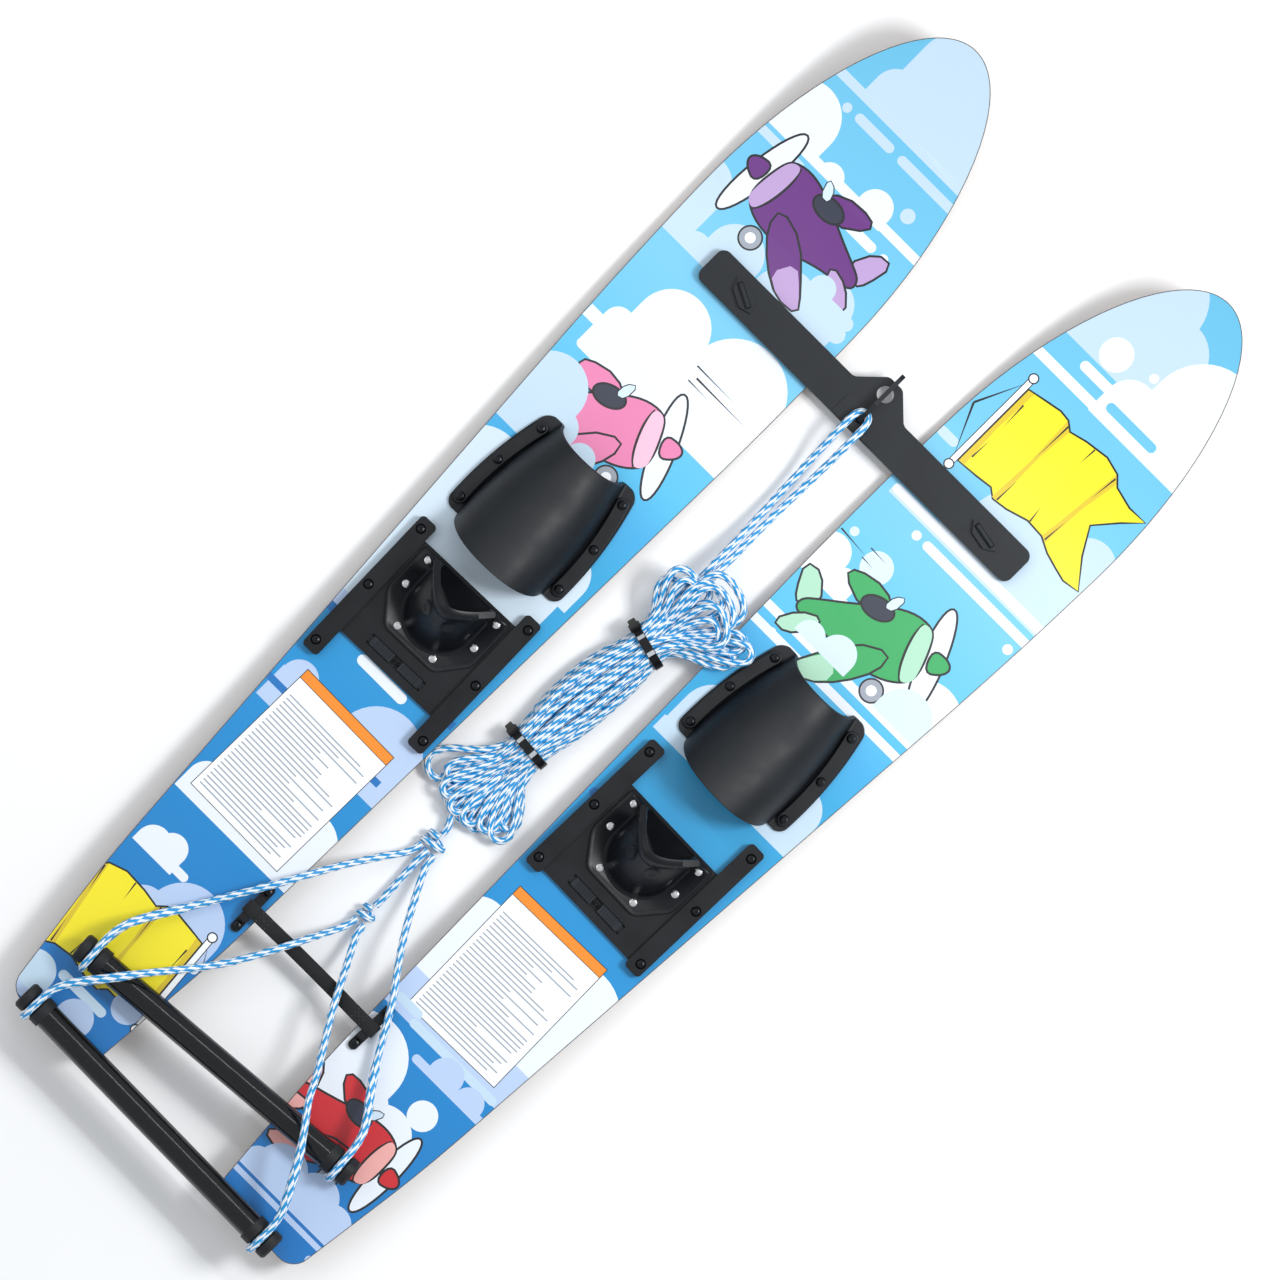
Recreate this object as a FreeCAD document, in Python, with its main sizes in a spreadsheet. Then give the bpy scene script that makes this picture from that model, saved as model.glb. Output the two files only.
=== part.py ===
"""A pair of junior water skis with their bindings, tip bar, tether strap, tow rope and two handles.

Row frame in millimetres: +Z up, +Y from the tails to the tips, +X to the right. X = 0 is the plane
between the skis, Z = 0 is the floor and Y = 0 is the middle of the length. Each ski has a frame of its
own: x across from its centre line, y from its tail and z from its running surface.
"""
import FreeCAD, Part
import math
import os
import re
import Sketcher

SIDES = {"left": -1, "right": 1}

DIMENSIONS = {
    # ski board
    "ski_length": 1143.0, "tip_half_width": 93.0, "tip_widest_at": 903.0, "tail_half_width": 50.0,
    "tail_corner": 18.0, "aft_half_width": 61.5, "aft_at": 125.0, "waist_half_width": 67.5,
    "waist_at": 240.0, "foot_half_width": 79.0, "foot_at": 535.0, "ski_thickness": 12.0,
    "sheet_thickness": 0.8, "rocker_start": 880.0, "rocker_radius": 520.0,
    "tail_spacing": 122.5, "toe_out_angle": 1.5,
    # tail fin
    "fin_base_length": 124.0, "fin_base_width": 26.0, "fin_base_height": 2.0, "fin_blade_width": 4.0,
    "fin_depth": 22.0, "fin_rear_depth": 23.8, "fin_rear": 34.0, "fin_blade_rear": 52.0,
    "fin_blade_front": 118.0, "fin_screw_pitch": 50.0, "fin_screw_offset": 8.0,
    # fasteners
    "screw_radius": 2.0, "screw_head_radius": 4.25, "screw_head_height": 3.0, "screw_length": 14.0,
    "short_screw_length": 9.0,
    "hex_socket_radius": 1.5, "hex_socket_depth": 1.6, "pilot_play": 0.05, "hole_play": 0.25,
    "rivet_radius": 2.0, "rivet_head_radius": 3.6, "rivet_head_height": 1.3,
    "rivet_rear_x": 20.6, "rivet_rear_y": 36.4, "rivet_middle_x": 40.0, "rivet_middle_y": 67.3,
    "rivet_front_x": 40.0, "rivet_front_y": 94.8,
    # toe piece
    "toe_rear": 558.0, "toe_front": 675.0, "rubber_thickness": 3.0, "strip_width": 12.5, "strip_edge": 1.2,
    "strip_thickness": 4.0, "strip_front_y": 659.0, "strip_front_x": 47.6, "strip_middle_y": 614.5,
    "strip_middle_x": 56.4, "strip_rear_y": 569.5, "strip_rear_x": 58.0,
    "arch_front_height": 44.0, "arch_rear_height": 60.0, "arch_front_half": 36.5,
    "arch_rear_half": 49.5, "arch_strip_gap": 2.5, "flange_front_half": 52.0, "flange_rear_half": 65.0,
    "arch_front_lean": 5.0, "arch_rear_lean": 20.0,
    # heel rails
    "rail_gap": 21.5, "rail_length": 151.0, "rail_inner": 53.0, "rail_outer": 70.0,
    "rail_height": 9.0, "rail_end_radius": 4.0, "groove_depth": 5.0, "rail_screw_x": 63.0,
    "rail_screw_margin": 10.5, "counterbore_depth": 2.0, "rack_pitch": 5.0, "rack_teeth": 10.0,
    "rack_depth": 1.5, "rack_notch": 2.6,
    # heel plate, cup and latch
    "plate_rear": 416.0, "plate_front": 521.0, "plate_thickness": 4.0, "plate_play": 0.4,
    "plate_lift": 0.3, "plate_corner": 5.0, "latch_y": 428.7, "slot_half_length": 31.0,
    "slot_width": 10.0, "button_inner": 4.5, "button_outer": 28.0, "button_width": 8.6,
    "button_rise": 2.4, "rib_pitch": 2.6, "rib_count": 7.0, "rib_margin": 2.2, "rib_gap": 1.1,
    "rib_depth": 0.9, "latch_arm_width": 6.0, "latch_arm_thickness": 1.8, "latch_tip_gap": 0.4,
    "spring_radius": 1.7, "spring_wire": 0.5, "spring_turns": 9.0, "spring_bore": 2.4,
    "spring_bore_depth": 6.0, "spring_play": 0.3,
    "flange_half": 50.0, "flange_shoulder": 54.0, "flange_tail_half": 29.0, "flange_tail": 27.5,
    "flange_thickness": 2.6, "cup_height": 68.0, "cup_base_half": 31.0, "cup_rim_half": 34.5,
    "cup_base_rear": 453.0, "cup_rim_rear": 489.0, "cup_base_front": 508.0, "cup_rim_front": 526.0,
    "cup_wall": 3.6, "cup_rim_drop": 16.0,
    "heel_offset_left": 0.0, "heel_offset_right": -25.0,
    # tip bar, tow tongue and lock knobs
    "bar_at": 860.3, "bar_length": 374.0, "bar_width": 35.0, "bar_thickness": 9.0,
    "bar_corner": 8.0, "nose_reach": 38.8, "nose_shoulder": 30.0, "nose_half_width": 8.0,
    "tow_eye_radius": 7.5, "tow_eye_reach": 25.6, "bar_cell": 22.0, "bar_cell_pitch": 27.0,
    "bar_skin": 3.0, "pad_half_width": 23.0, "pad_rise": 1.5,
    "tongue_thickness": 4.0, "tongue_height": 17.0, "tongue_reach": 47.4, "tongue_eye_y": 2.0,
    "tongue_eye_z": 7.4, "tongue_eye_radius": 4.1,
    "knob_x": 145.0, "knob_length": 33.0, "knob_width": 15.0, "knob_height": 4.0,
    "knob_ridge_length": 23.5, "knob_ridge_width": 9.7, "knob_ridge_height": 4.0,
    "knob_shaft_radius": 4.0, "knob_seat_gap": 0.3, "shaft_play": 0.1, "insert_radius": 7.0,
    "insert_depth": 9.0, "knob_angle_left": -27.0, "knob_angle_right": -11.0,
    # tether
    "tether_at": 194.0, "tether_loop_x": 71.5, "loop_screw_pitch": 39.0, "loop_foot": 12.0,
    "loop_width": 9.0, "loop_thickness": 3.0, "loop_rise": 6.0, "strap_width": 12.5,
    "strap_thickness": 1.8, "strap_play": 0.4, "strap_slack": 1.0, "strap_sag": 11.0,
    # handles
    "handle_length": 303.0, "cap_radius": 13.0, "cap_length": 27.0, "cap_wall": 4.0,
    "grip_radius": 11.75, "tube_radius": 8.5, "tube_bore": 6.0, "handle_play": 0.15,
    "groove_floor": 11.0, "groove_half_width": 4.8, "rope_seat_gap": 0.4,
    "front_handle_x": -2.1, "front_handle_y": 82.5, "front_handle_angle": 4.67,
    "rear_handle_x": -6.1, "rear_handle_y": 5.7, "rear_handle_angle": -0.83,
    # rope
    "rope_diameter": 6.4, "tie_thickness": 1.2, "tie_width": 10.0, "tie_play": 0.3,
    "joint_piece_length": 18.0,
}

doc = FreeCAD.newDocument("WaterSkiPair")
sheet = doc.addObject("Spreadsheet::Sheet", "Sizes")
for row, (alias, size) in enumerate(DIMENSIONS.items(), start=1):
    sheet.set(f"A{row}", str(size))
    sheet.setAlias(f"A{row}", alias)
doc.recompute()


def size(alias):
    """The number a cell of the sheet holds."""
    return float(sheet.get(alias))


def bound(text):
    """An expression in aliases, as the document writes it."""
    def name_cell(word):
        return f"Sizes.{word[0]}" if word[0] in DIMENSIONS else word[0]
    return re.sub(r"[a-z][a-z_]+", name_cell, text)


def value(text):
    """The number an expression in aliases gives."""
    return float(sheet.evalExpression(bound(text)))


def vector(x, y, z=0.0):
    return FreeCAD.Vector(x, y, z)


def shift(x=0.0, y=0.0, z=0.0):
    """A placement that only moves."""
    return FreeCAD.Placement(vector(x, y, z), FreeCAD.Rotation())


def turn(axis, angle):
    """A placement that only turns, by degrees about an axis through the origin."""
    return FreeCAD.Placement(vector(0, 0), FreeCAD.Rotation(axis, angle))


X_AXIS = vector(1, 0, 0)
Y_AXIS = vector(0, 1, 0)
Z_AXIS = vector(0, 0, 1)
SUBPARTS = {}


# ---------------------------------------------------------------- where the pieces stand
def lift_angle():
    """Degrees that the skis lean forward, so that each rests on its fin and on its belly."""
    fin_arm = size("rocker_start") - size("fin_blade_front")
    fin_drop = size("rocker_radius") + size("fin_depth")
    reach = math.hypot(fin_arm, fin_drop)
    return math.degrees(math.atan2(fin_drop, fin_arm) - math.asin(size("rocker_radius") / reach))


LIFT = lift_angle()


def rear_handle_reach():
    """How far the rear handle stands behind the line of the tails."""
    angle = math.radians(abs(size("rear_handle_angle")))
    half = size("handle_length") / 2
    return half * math.sin(angle) + size("cap_radius") * math.cos(angle) - size("rear_handle_y")


def tip_reach():
    """How far the tips stand ahead of the line of the tails once the skis lean and toe out."""
    ahead = size("ski_length") - size("rocker_start")
    deck_radius = size("rocker_radius") - size("ski_thickness")
    tip_height = size("rocker_radius") - math.sqrt(deck_radius ** 2 - ahead ** 2)
    lost_to_yaw = size("ski_length") * (1 - math.cos(math.radians(size("toe_out_angle"))))
    return size("ski_length") + tip_height * math.sin(math.radians(LIFT)) - lost_to_yaw


BENCH = shift(y=-(tip_reach() - rear_handle_reach()) / 2)


def lean():
    """The lean of both skis and what they carry, about the centre line of the rocker."""
    sine = math.sin(math.radians(LIFT))
    pivot = vector(0, size("rocker_start"), size("rocker_radius"))
    leaned = FreeCAD.Placement(vector(0, 0), FreeCAD.Rotation(X_AXIS, -LIFT), pivot)
    return BENCH * shift(y=size("rocker_radius") * sine) * leaned


LEAN = lean()


def ski_frame(side):
    """The frame of one ski: its tail apart from the middle plane and its tip turned out."""
    sign = SIDES[side]
    return LEAN * shift(sign * size("tail_spacing")) * turn(Z_AXIS, -sign * size("toe_out_angle"))


def heel_frame(side):
    """The ski frame, moved along to where that heel plate is latched."""
    return ski_frame(side) * shift(y=size(f"heel_offset_{side}"))


def handle_frame(name):
    """Middle of a handle, which lies across both decks on the rope round its caps."""
    y = size(f"{name}_handle_y")
    on_deck = LEAN.multVec(vector(0, y, size("ski_thickness")))
    above_deck = size("groove_floor") + size("rope_diameter") + 2 * size("rope_seat_gap")
    centre = vector(size(f"{name}_handle_x"), BENCH.Base.y + y, on_deck.z + above_deck)
    return FreeCAD.Placement(centre, FreeCAD.Rotation(Z_AXIS, size(f"{name}_handle_angle")))


# ---------------------------------------------------------------- ways to make a piece
def keep(node, piece, placement=None):
    """Name a finished sub-part and set it in its place."""
    piece.Label = node
    if placement is not None:
        piece.Placement = placement
    SUBPARTS[node] = piece
    return piece


def outline(body, plane, name, corners):
    """A closed sketch through corners, each a pair of expressions for its two coordinates."""
    sketch = body.newObject("Sketcher::SketchObject", name)
    support = next(part for part in body.Origin.OriginFeatures if part.Role == plane)
    sketch.AttachmentSupport = [(support, "")]
    sketch.MapMode = "FlatFace"
    points = [vector(value(across), value(along)) for across, along in corners]
    count = len(points)
    for index in range(count):
        sketch.addGeometry(Part.LineSegment(points[index], points[(index + 1) % count]))
    for index in range(count):
        sketch.addConstraint(Sketcher.Constraint("Coincident", index, 2, (index + 1) % count, 1))
    for index, (across, along) in enumerate(corners):
        point = points[index]
        for kind, text, start in (("DistanceX", across, point.x), ("DistanceY", along, point.y)):
            number = sketch.addConstraint(Sketcher.Constraint(kind, -1, 1, index, 1, start))
            sketch.setExpression(f"Constraints[{number}]", bound(text))
    return sketch


def circles(body, plane, name, rounds):
    """A sketch of circles, each given by expressions for its centre and radius."""
    sketch = body.newObject("Sketcher::SketchObject", name)
    support = next(part for part in body.Origin.OriginFeatures if part.Role == plane)
    sketch.AttachmentSupport = [(support, "")]
    sketch.MapMode = "FlatFace"
    for index, (across, along, radius) in enumerate(rounds):
        centre = vector(value(across), value(along))
        sketch.addGeometry(Part.Circle(centre, Z_AXIS, value(radius)))
        for kind, text, start in (("DistanceX", across, centre.x), ("DistanceY", along, centre.y)):
            number = sketch.addConstraint(Sketcher.Constraint(kind, -1, 1, index, 3, start))
            sketch.setExpression(f"Constraints[{number}]", bound(text))
        number = sketch.addConstraint(Sketcher.Constraint("Radius", index, value(radius)))
        sketch.setExpression(f"Constraints[{number}]", bound(radius))
    return sketch


def rectangle(left, low, right, high):
    """Corners of a rectangle between two opposite corners, as expressions."""
    return [(left, low), (right, low), (right, high), (left, high)]


def new_body(node):
    return doc.addObject("PartDesign::Body", f"{node}_body")


def pad(body, sketch, length, symmetric=False, reverse=False):
    """Material on a sketch, by an expression for its length."""
    feature = body.newObject("PartDesign::Pad", f"{sketch.Name}_pad")
    feature.Profile = sketch
    feature.SideType = "Symmetric" if symmetric else "One side"
    feature.Reversed = reverse
    feature.setExpression("Length", bound(length))
    doc.recompute()
    return feature


def pocket(body, sketch, depth, symmetric=False, reverse=False):
    """A cut from a sketch; the volume is compared so that it can't miss the solid."""
    before = body.Shape.Volume
    feature = body.newObject("PartDesign::Pocket", f"{sketch.Name}_pocket")
    feature.Profile = sketch
    feature.SideType = "Symmetric" if symmetric else "One side"
    feature.Reversed = reverse
    feature.setExpression("Length", bound(depth))
    doc.recompute()
    if body.Shape.Volume >= before:
        raise RuntimeError(f"{feature.Name} cuts nothing")
    return feature


def revolve(body, sketch, axis):
    """A full turn of a sketch about one of the body's axes."""
    feature = body.newObject("PartDesign::Revolution", f"{sketch.Name}_turned")
    feature.Profile = sketch
    support = next(part for part in body.Origin.OriginFeatures if part.Role == axis)
    feature.ReferenceAxis = (support, [""])
    feature.Angle = 360.0
    doc.recompute()
    return feature


def row_of(body, feature, axis, pitch, count):
    """A feature repeated along one of the body's axes."""
    support = next(part for part in body.Origin.OriginFeatures if part.Role == axis)
    pattern = body.newObject("PartDesign::LinearPattern", f"{feature.Name}_row")
    pattern.Originals = [feature]
    pattern.Direction = (support, [""])
    pattern.Mode = "Spacing"
    pattern.setExpression("Offset", bound(pitch))
    pattern.Occurrences = int(count)
    body.Tip = pattern
    doc.recompute()
    return pattern


def round_off(body, radius, wanted):
    """A fillet on the edges of the body that the test picks."""
    tip = body.Tip
    names = [f"Edge{number}" for number, edge in enumerate(tip.Shape.Edges, start=1) if wanted(edge)]
    feature = body.newObject("PartDesign::Fillet", f"{tip.Name}_rounded")
    feature.Base = (tip, names)
    feature.setExpression("Radius", bound(radius))
    doc.recompute()
    return feature


def upright(edge):
    """A straight edge along Z."""
    return isinstance(edge.Curve, Part.Line) and abs(edge.tangentAt(edge.FirstParameter).z) > 0.999


def at_height(height):
    """A test for edges that lie flat at one height."""
    return lambda edge: abs(edge.BoundBox.ZMin - height) < 1e-4 and abs(edge.BoundBox.ZMax - height) < 1e-4


def wire(name, edges):
    """A closed outline whose curves no sketch holds, as a document object."""
    feature = doc.addObject("Part::Feature", name)
    feature.Shape = Part.Wire(edges)
    return feature


def extrude(name, profile, direction, length, start=0.0):
    """A solid on a closed outline; the length is an expression."""
    feature = doc.addObject("Part::Extrusion", name)
    feature.Base = profile
    feature.DirMode = "Custom"
    feature.Dir = direction
    feature.Solid = True
    feature.setExpression("LengthFwd", bound(length))
    feature.Placement = shift(start * direction.x, start * direction.y, start * direction.z)
    return feature


def join(kind, name, base, tool):
    """A boolean of two objects: Part::Cut, Part::Fuse or Part::Common."""
    feature = doc.addObject(kind, name)
    feature.Base = base
    feature.Tool = tool
    doc.recompute()
    return feature


def solids(name, shapes):
    """Several separate solids as one document object."""
    feature = doc.addObject("Part::Feature", name)
    feature.Shape = Part.makeCompound(shapes)
    return feature


def drill(name, base, places, radius, low, high):
    """Cut round upright holes from low to high at each (x, y) of places."""
    tools = [Part.makeCylinder(radius, high - low, vector(x, y, low), Z_AXIS) for x, y in places]
    return join("Part::Cut", name, base, solids(f"{name}_drills", tools))


def copies(node, pattern, places, placement):
    """A group of identical solids, each a moved copy of one pattern piece."""
    pieces = []
    for place in places:
        piece = pattern.Shape.copy()
        piece.Placement = place
        pieces.append(piece)
    return keep(node, solids(node, pieces), placement)


# ---------------------------------------------------------------- where holes and fasteners go
def strip_screws(sign):
    """Screw centres along one toe strip."""
    parts = ("rear", "middle", "front")
    return [(sign * size(f"strip_{part}_x"), size(f"strip_{part}_y")) for part in parts]


def rail_rear():
    """Rear end of the heel rails, whose front ends stop short of the toe piece."""
    return size("toe_rear") - size("rail_gap") - size("rail_length")


def rail_screws(sign):
    """Screw centres along one heel rail."""
    rear = rail_rear() + size("rail_screw_margin")
    front = rail_rear() + size("rail_length") - size("rail_screw_margin")
    return [(sign * size("rail_screw_x"), y) for y in (rear, (rear + front) / 2, front)]


def loop_screws(side):
    """Screw centres of one tether loop, in its ski's frame."""
    middle = ski_frame(side).inverse().multVec(tether_centre(side))
    half = size("loop_screw_pitch") / 2
    return [(middle.x, middle.y - half), (middle.x, middle.y + half)]


def tether_centre(side):
    """Middle of a tether loop, on the deck."""
    across = SIDES[side] * size("tether_loop_x")
    return LEAN.multVec(vector(across, size("tether_at"), size("ski_thickness")))


def knob_place(side):
    """Axis of a lock knob, in its ski's frame."""
    on_deck = LEAN.multVec(vector(SIDES[side] * size("knob_x"), size("bar_at"), size("ski_thickness")))
    local = ski_frame(side).inverse().multVec(on_deck)
    return (local.x, local.y)


def fin_screws():
    """Screw centres of a fin, either side of its blade."""
    middle = size("fin_rear") + size("fin_base_length") / 2
    return [(sign * size("fin_screw_offset"), middle + sign * size("fin_screw_pitch")) for sign in (-1, 1)]


def rivet_places():
    """Rivet centres of a heel plate, in the heel's frame."""
    rear = size("plate_rear")
    rows = [(size(f"rivet_{row}_x"), rear + size(f"rivet_{row}_y")) for row in ("rear", "middle", "front")]
    return [(sign * x, y) for x, y in rows for sign in (-1, 1)]


# ---------------------------------------------------------------- ski board
def plan_outline():
    """The ski's outline from above: a rounded tail, a swelling side and an elliptical tip."""
    length = size("ski_length")
    widest = size("tip_half_width")
    widest_at = size("tip_widest_at")
    tail = size("tail_half_width")
    corner = size("tail_corner")
    between = [(size(f"{part}_half_width"), size(f"{part}_at")) for part in ("aft", "waist", "foot")]
    stations = [(tail, corner)] + between + [(widest, widest_at)]
    edges = [Part.LineSegment(vector(corner - tail, 0), vector(tail - corner, 0)).toShape()]
    for sign in (1, -1):
        inset = corner * (1 - math.sqrt(0.5))
        arc_ends = [vector(sign * (tail - corner), 0), vector(sign * tail, corner)]
        edges.append(Part.Arc(arc_ends[0], vector(sign * (tail - inset), inset), arc_ends[1]).toShape())
        side = Part.BSplineCurve()
        side.interpolate(Points=[vector(sign * x, y) for x, y in stations],
                         InitialTangent=vector(sign * 0.1, 1), FinalTangent=vector(0, 1))
        edges.append(side.toShape())
    tip = Part.Ellipse(vector(0, length), vector(widest, widest_at), vector(0, widest_at))
    quarter = math.pi / 2
    edges.append(Part.ArcOfEllipse(tip, -quarter, 0).toShape())
    edges.append(Part.ArcOfEllipse(tip, 0, quarter).toShape())
    return Part.__sortEdges__(edges)


def side_profile(low, high):
    """The side of a layer of the ski, flat and then rising on the rocker's arc."""
    start = size("rocker_start")
    radius = size("rocker_radius")
    rise = math.asin((size("ski_length") - start) / (radius - size("ski_thickness"))) + math.radians(1.0)

    def on_arc(level, angle):
        reach = radius - level
        return vector(0, start + reach * math.sin(angle), radius - reach * math.cos(angle))

    return [Part.LineSegment(vector(0, 0, low), on_arc(low, 0)).toShape(),
            Part.Arc(on_arc(low, 0), on_arc(low, rise / 2), on_arc(low, rise)).toShape(),
            Part.LineSegment(on_arc(low, rise), on_arc(high, rise)).toShape(),
            Part.Arc(on_arc(high, rise), on_arc(high, rise / 2), on_arc(high, 0)).toShape(),
            Part.LineSegment(on_arc(high, 0), vector(0, 0, high)).toShape(),
            Part.LineSegment(vector(0, 0, high), vector(0, 0, low)).toShape()]


def board_layer(name, low, high):
    """One layer of the ski: its side profile, cut to the outline."""
    plan = extrude(f"{name}_plan", wire(f"{name}_outline", plan_outline()), Z_AXIS, "rocker_radius", -10.0)
    profile = wire(f"{name}_profile", side_profile(low, high))
    left = -size("tip_half_width") - 10.0
    side = extrude(f"{name}_side", profile, X_AXIS, "2 * tip_half_width + 20", left)
    return join("Part::Common", f"{name}_layer", side, plan)


def make_board(side):
    """Laminated wood core, printed top sheet and moulded fin of one ski."""
    deck = size("ski_thickness")
    joint = deck - size("sheet_thickness")
    pilot = size("screw_radius") + size("pilot_play")
    binding = [place for sign in (-1, 1) for place in strip_screws(sign) + rail_screws(sign)]
    deck_screws = binding + loop_screws(side)
    screw_end = deck + size("strip_thickness") + size("rubber_thickness") - size("screw_length") - 1.0
    core = board_layer(f"core_{side}", 0.0, joint)
    core = drill(f"core_{side}_screws", core, deck_screws, pilot, screw_end, joint + 1.0)
    core = drill(f"core_{side}_insert", core, [knob_place(side)], size("insert_radius"),
                 joint - size("insert_depth"), joint + 1.0)
    fin_hole = size("short_screw_length") - size("fin_base_height") + 1.0
    core = drill(f"core_{side}_fin", core, fin_screws(), pilot, -1.0, fin_hole)
    keep(f"ski_core_{side}", core, ski_frame(side))
    sheet_layer = board_layer(f"sheet_{side}", joint, deck)
    sheet_layer = drill(f"sheet_{side}_screws", sheet_layer, deck_screws, pilot, joint - 1.0, deck + 1.0)
    sheet_layer = drill(f"sheet_{side}_knob", sheet_layer, [knob_place(side)],
                        size("knob_shaft_radius") + size("hole_play"), joint - 1.0, deck + 1.0)
    keep(f"top_sheet_{side}", sheet_layer, ski_frame(side))


def make_fin(side):
    """Tail fin: a flat base on the running surface, with one blade below it."""
    body = new_body(f"tail_fin_{side}")
    base = outline(body, "XY_Plane", "fin_base", rectangle(
        "-fin_base_width / 2", "fin_rear", "fin_base_width / 2", "fin_rear + fin_base_length"))
    pad(body, base, "fin_base_height", reverse=True)
    round_off(body, "fin_base_width / 4", upright)
    blade = outline(body, "YZ_Plane", "fin_blade", [
        ("fin_blade_front + 22", "-fin_base_height / 2"), ("fin_blade_front", "-fin_depth"),
        ("fin_blade_rear", "-fin_rear_depth"), ("fin_blade_rear - 12", "-fin_base_height / 2")])
    pad(body, blade, "fin_blade_width", symmetric=True)
    holes = circles(body, "XY_Plane", "fin_holes", [
        (f"{x}", f"{y}", "screw_radius + hole_play") for x, y in fin_screws()])
    pocket(body, holes, "fin_base_height")
    keep(f"tail_fin_{side}", body, ski_frame(side))


# ---------------------------------------------------------------- fasteners
def make_screw(length):
    """Button-head screw with a hex socket, its head's underside at z = 0."""
    body = new_body(length)
    half = outline(body, "XZ_Plane", "screw_half", [
        ("0", f"-{length}"), ("screw_radius / 2", f"-{length}"),
        ("screw_radius", f"screw_radius - {length}"), ("screw_radius", "0"), ("screw_head_radius", "0"),
        ("screw_head_radius", "screw_head_height / 3"),
        ("0.72 * screw_head_radius", "0.82 * screw_head_height"),
        ("0.4 * screw_head_radius", "screw_head_height"), ("0", "screw_head_height")])
    revolve(body, half, "Z_Axis")
    corners = [(f"hex_socket_radius * {math.cos(k * math.pi / 3):.6f}",
                f"hex_socket_radius * {math.sin(k * math.pi / 3):.6f}") for k in range(6)]
    hexagon = outline(body, "XY_Plane", "screw_hex", corners)
    hexagon.AttachmentOffset = shift(z=size("screw_head_height"))
    pocket(body, hexagon, "hex_socket_depth")
    return body


def make_rivet():
    """Domed rivet, its head's underside at z = 0 and its shank through flange and plate."""
    body = new_body("rivet")
    grip = "-(flange_thickness + plate_thickness)"
    half = outline(body, "XZ_Plane", "rivet_half", [
        ("0", grip), ("rivet_radius", grip), ("rivet_radius", "0"), ("rivet_head_radius", "0"),
        ("0.92 * rivet_head_radius", "0.5 * rivet_head_height"),
        ("0.6 * rivet_head_radius", "0.9 * rivet_head_height"), ("0", "rivet_head_height")])
    revolve(body, half, "Z_Axis")
    return body


def screw_groups():
    """Binding screws, and the shorter ones of the tether loops and the fins, as groups."""
    long_screw = make_screw("screw_length")
    short_screw = make_screw("short_screw_length")
    head = size("ski_thickness") + size("rubber_thickness") + size("strip_thickness")
    for side in SIDES:
        places = [shift(x, y, head) for sign in (-1, 1) for x, y in strip_screws(sign) + rail_screws(sign)]
        copies(f"binding_screws_{side}", long_screw, places, ski_frame(side))
    loop_head = size("ski_thickness") + size("loop_thickness")
    tether = [ski_frame(side) * shift(x, y, loop_head) for side in SIDES for x, y in loop_screws(side)]
    copies("tether_screws", short_screw, tether, shift())
    over = shift(z=-size("fin_base_height")) * turn(X_AXIS, 180)
    fins = [ski_frame(side) * shift(x, y) * over for side in SIDES for x, y in fin_screws()]
    copies("fin_screws", short_screw, fins, shift())


# ---------------------------------------------------------------- toe piece
def arch_section(half, height, flange, y, lean_back):
    """A flat-footed arch standing on the deck, leaning back at its top."""
    sheet_height = size("rubber_thickness")
    up = vector(0, -lean_back, height).normalize()

    def place(across, level):
        return vector(across, y, size("ski_thickness")) + up * level

    def arc(radius, top, base):
        angles = [math.pi * (1 - step / 8) for step in range(9)]
        curve = Part.BSplineCurve()
        curve.interpolate([place(math.copysign(abs(math.cos(angle)) ** 0.86, math.cos(angle)) * radius,
                                 base + (top - base) * math.sin(angle) ** 0.86) for angle in angles])
        return curve.toShape()

    inner = half - sheet_height
    corners = [place(-inner, 0), place(-flange, 0), place(-flange, sheet_height), place(-half, sheet_height)]
    mirrored = [vector(-corner.x, corner.y, corner.z) for corner in corners]
    edges = [Part.LineSegment(corners[index], corners[index + 1]).toShape() for index in range(3)]
    edges.append(arc(half, height, sheet_height))
    edges += [Part.LineSegment(mirrored[index + 1], mirrored[index]).toShape() for index in (2, 1, 0)]
    edges.append(arc(inner, height - sheet_height, 0.0))
    return Part.Wire(Part.__sortEdges__(edges))


def make_toe(side):
    """Rubber toe arch of one ski, clamped by two curved strips."""
    middle = (size("toe_rear") + size("toe_front")) / 2
    bulge = size("strip_middle_x") + size("strip_width") / 2 + 1.0
    sections = [
        arch_section(size("arch_rear_half"), size("arch_rear_height"), size("flange_rear_half"),
                     size("toe_rear"), size("arch_rear_lean")),
        arch_section(size("strip_middle_x") - size("strip_width") / 2 - size("arch_strip_gap"),
                     (size("arch_rear_height") + size("arch_front_height")) / 2, bulge, middle,
                     (size("arch_rear_lean") + size("arch_front_lean")) / 2),
        arch_section(size("arch_front_half"), size("arch_front_height"), size("flange_front_half"),
                     size("toe_front"), size("arch_front_lean"))]
    rubber = doc.addObject("Part::Feature", f"toe_arch_{side}")
    rubber.Shape = Part.makeLoft(sections, True, False)
    places = strip_screws(-1) + strip_screws(1)
    clearance = size("screw_radius") + size("hole_play")
    deck = size("ski_thickness")
    top = deck + size("rubber_thickness")
    rubber = drill(f"toe_rubber_{side}_holes", rubber, places, clearance, deck - 1.0, top + 1.0)
    keep(f"toe_rubber_{side}", rubber, ski_frame(side))
    for label, sign in (("outer", SIDES[side]), ("inner", -SIDES[side])):
        keep(f"toe_strip_{label}_{side}", make_strip(f"{label}_{side}", sign), ski_frame(side))


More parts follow.
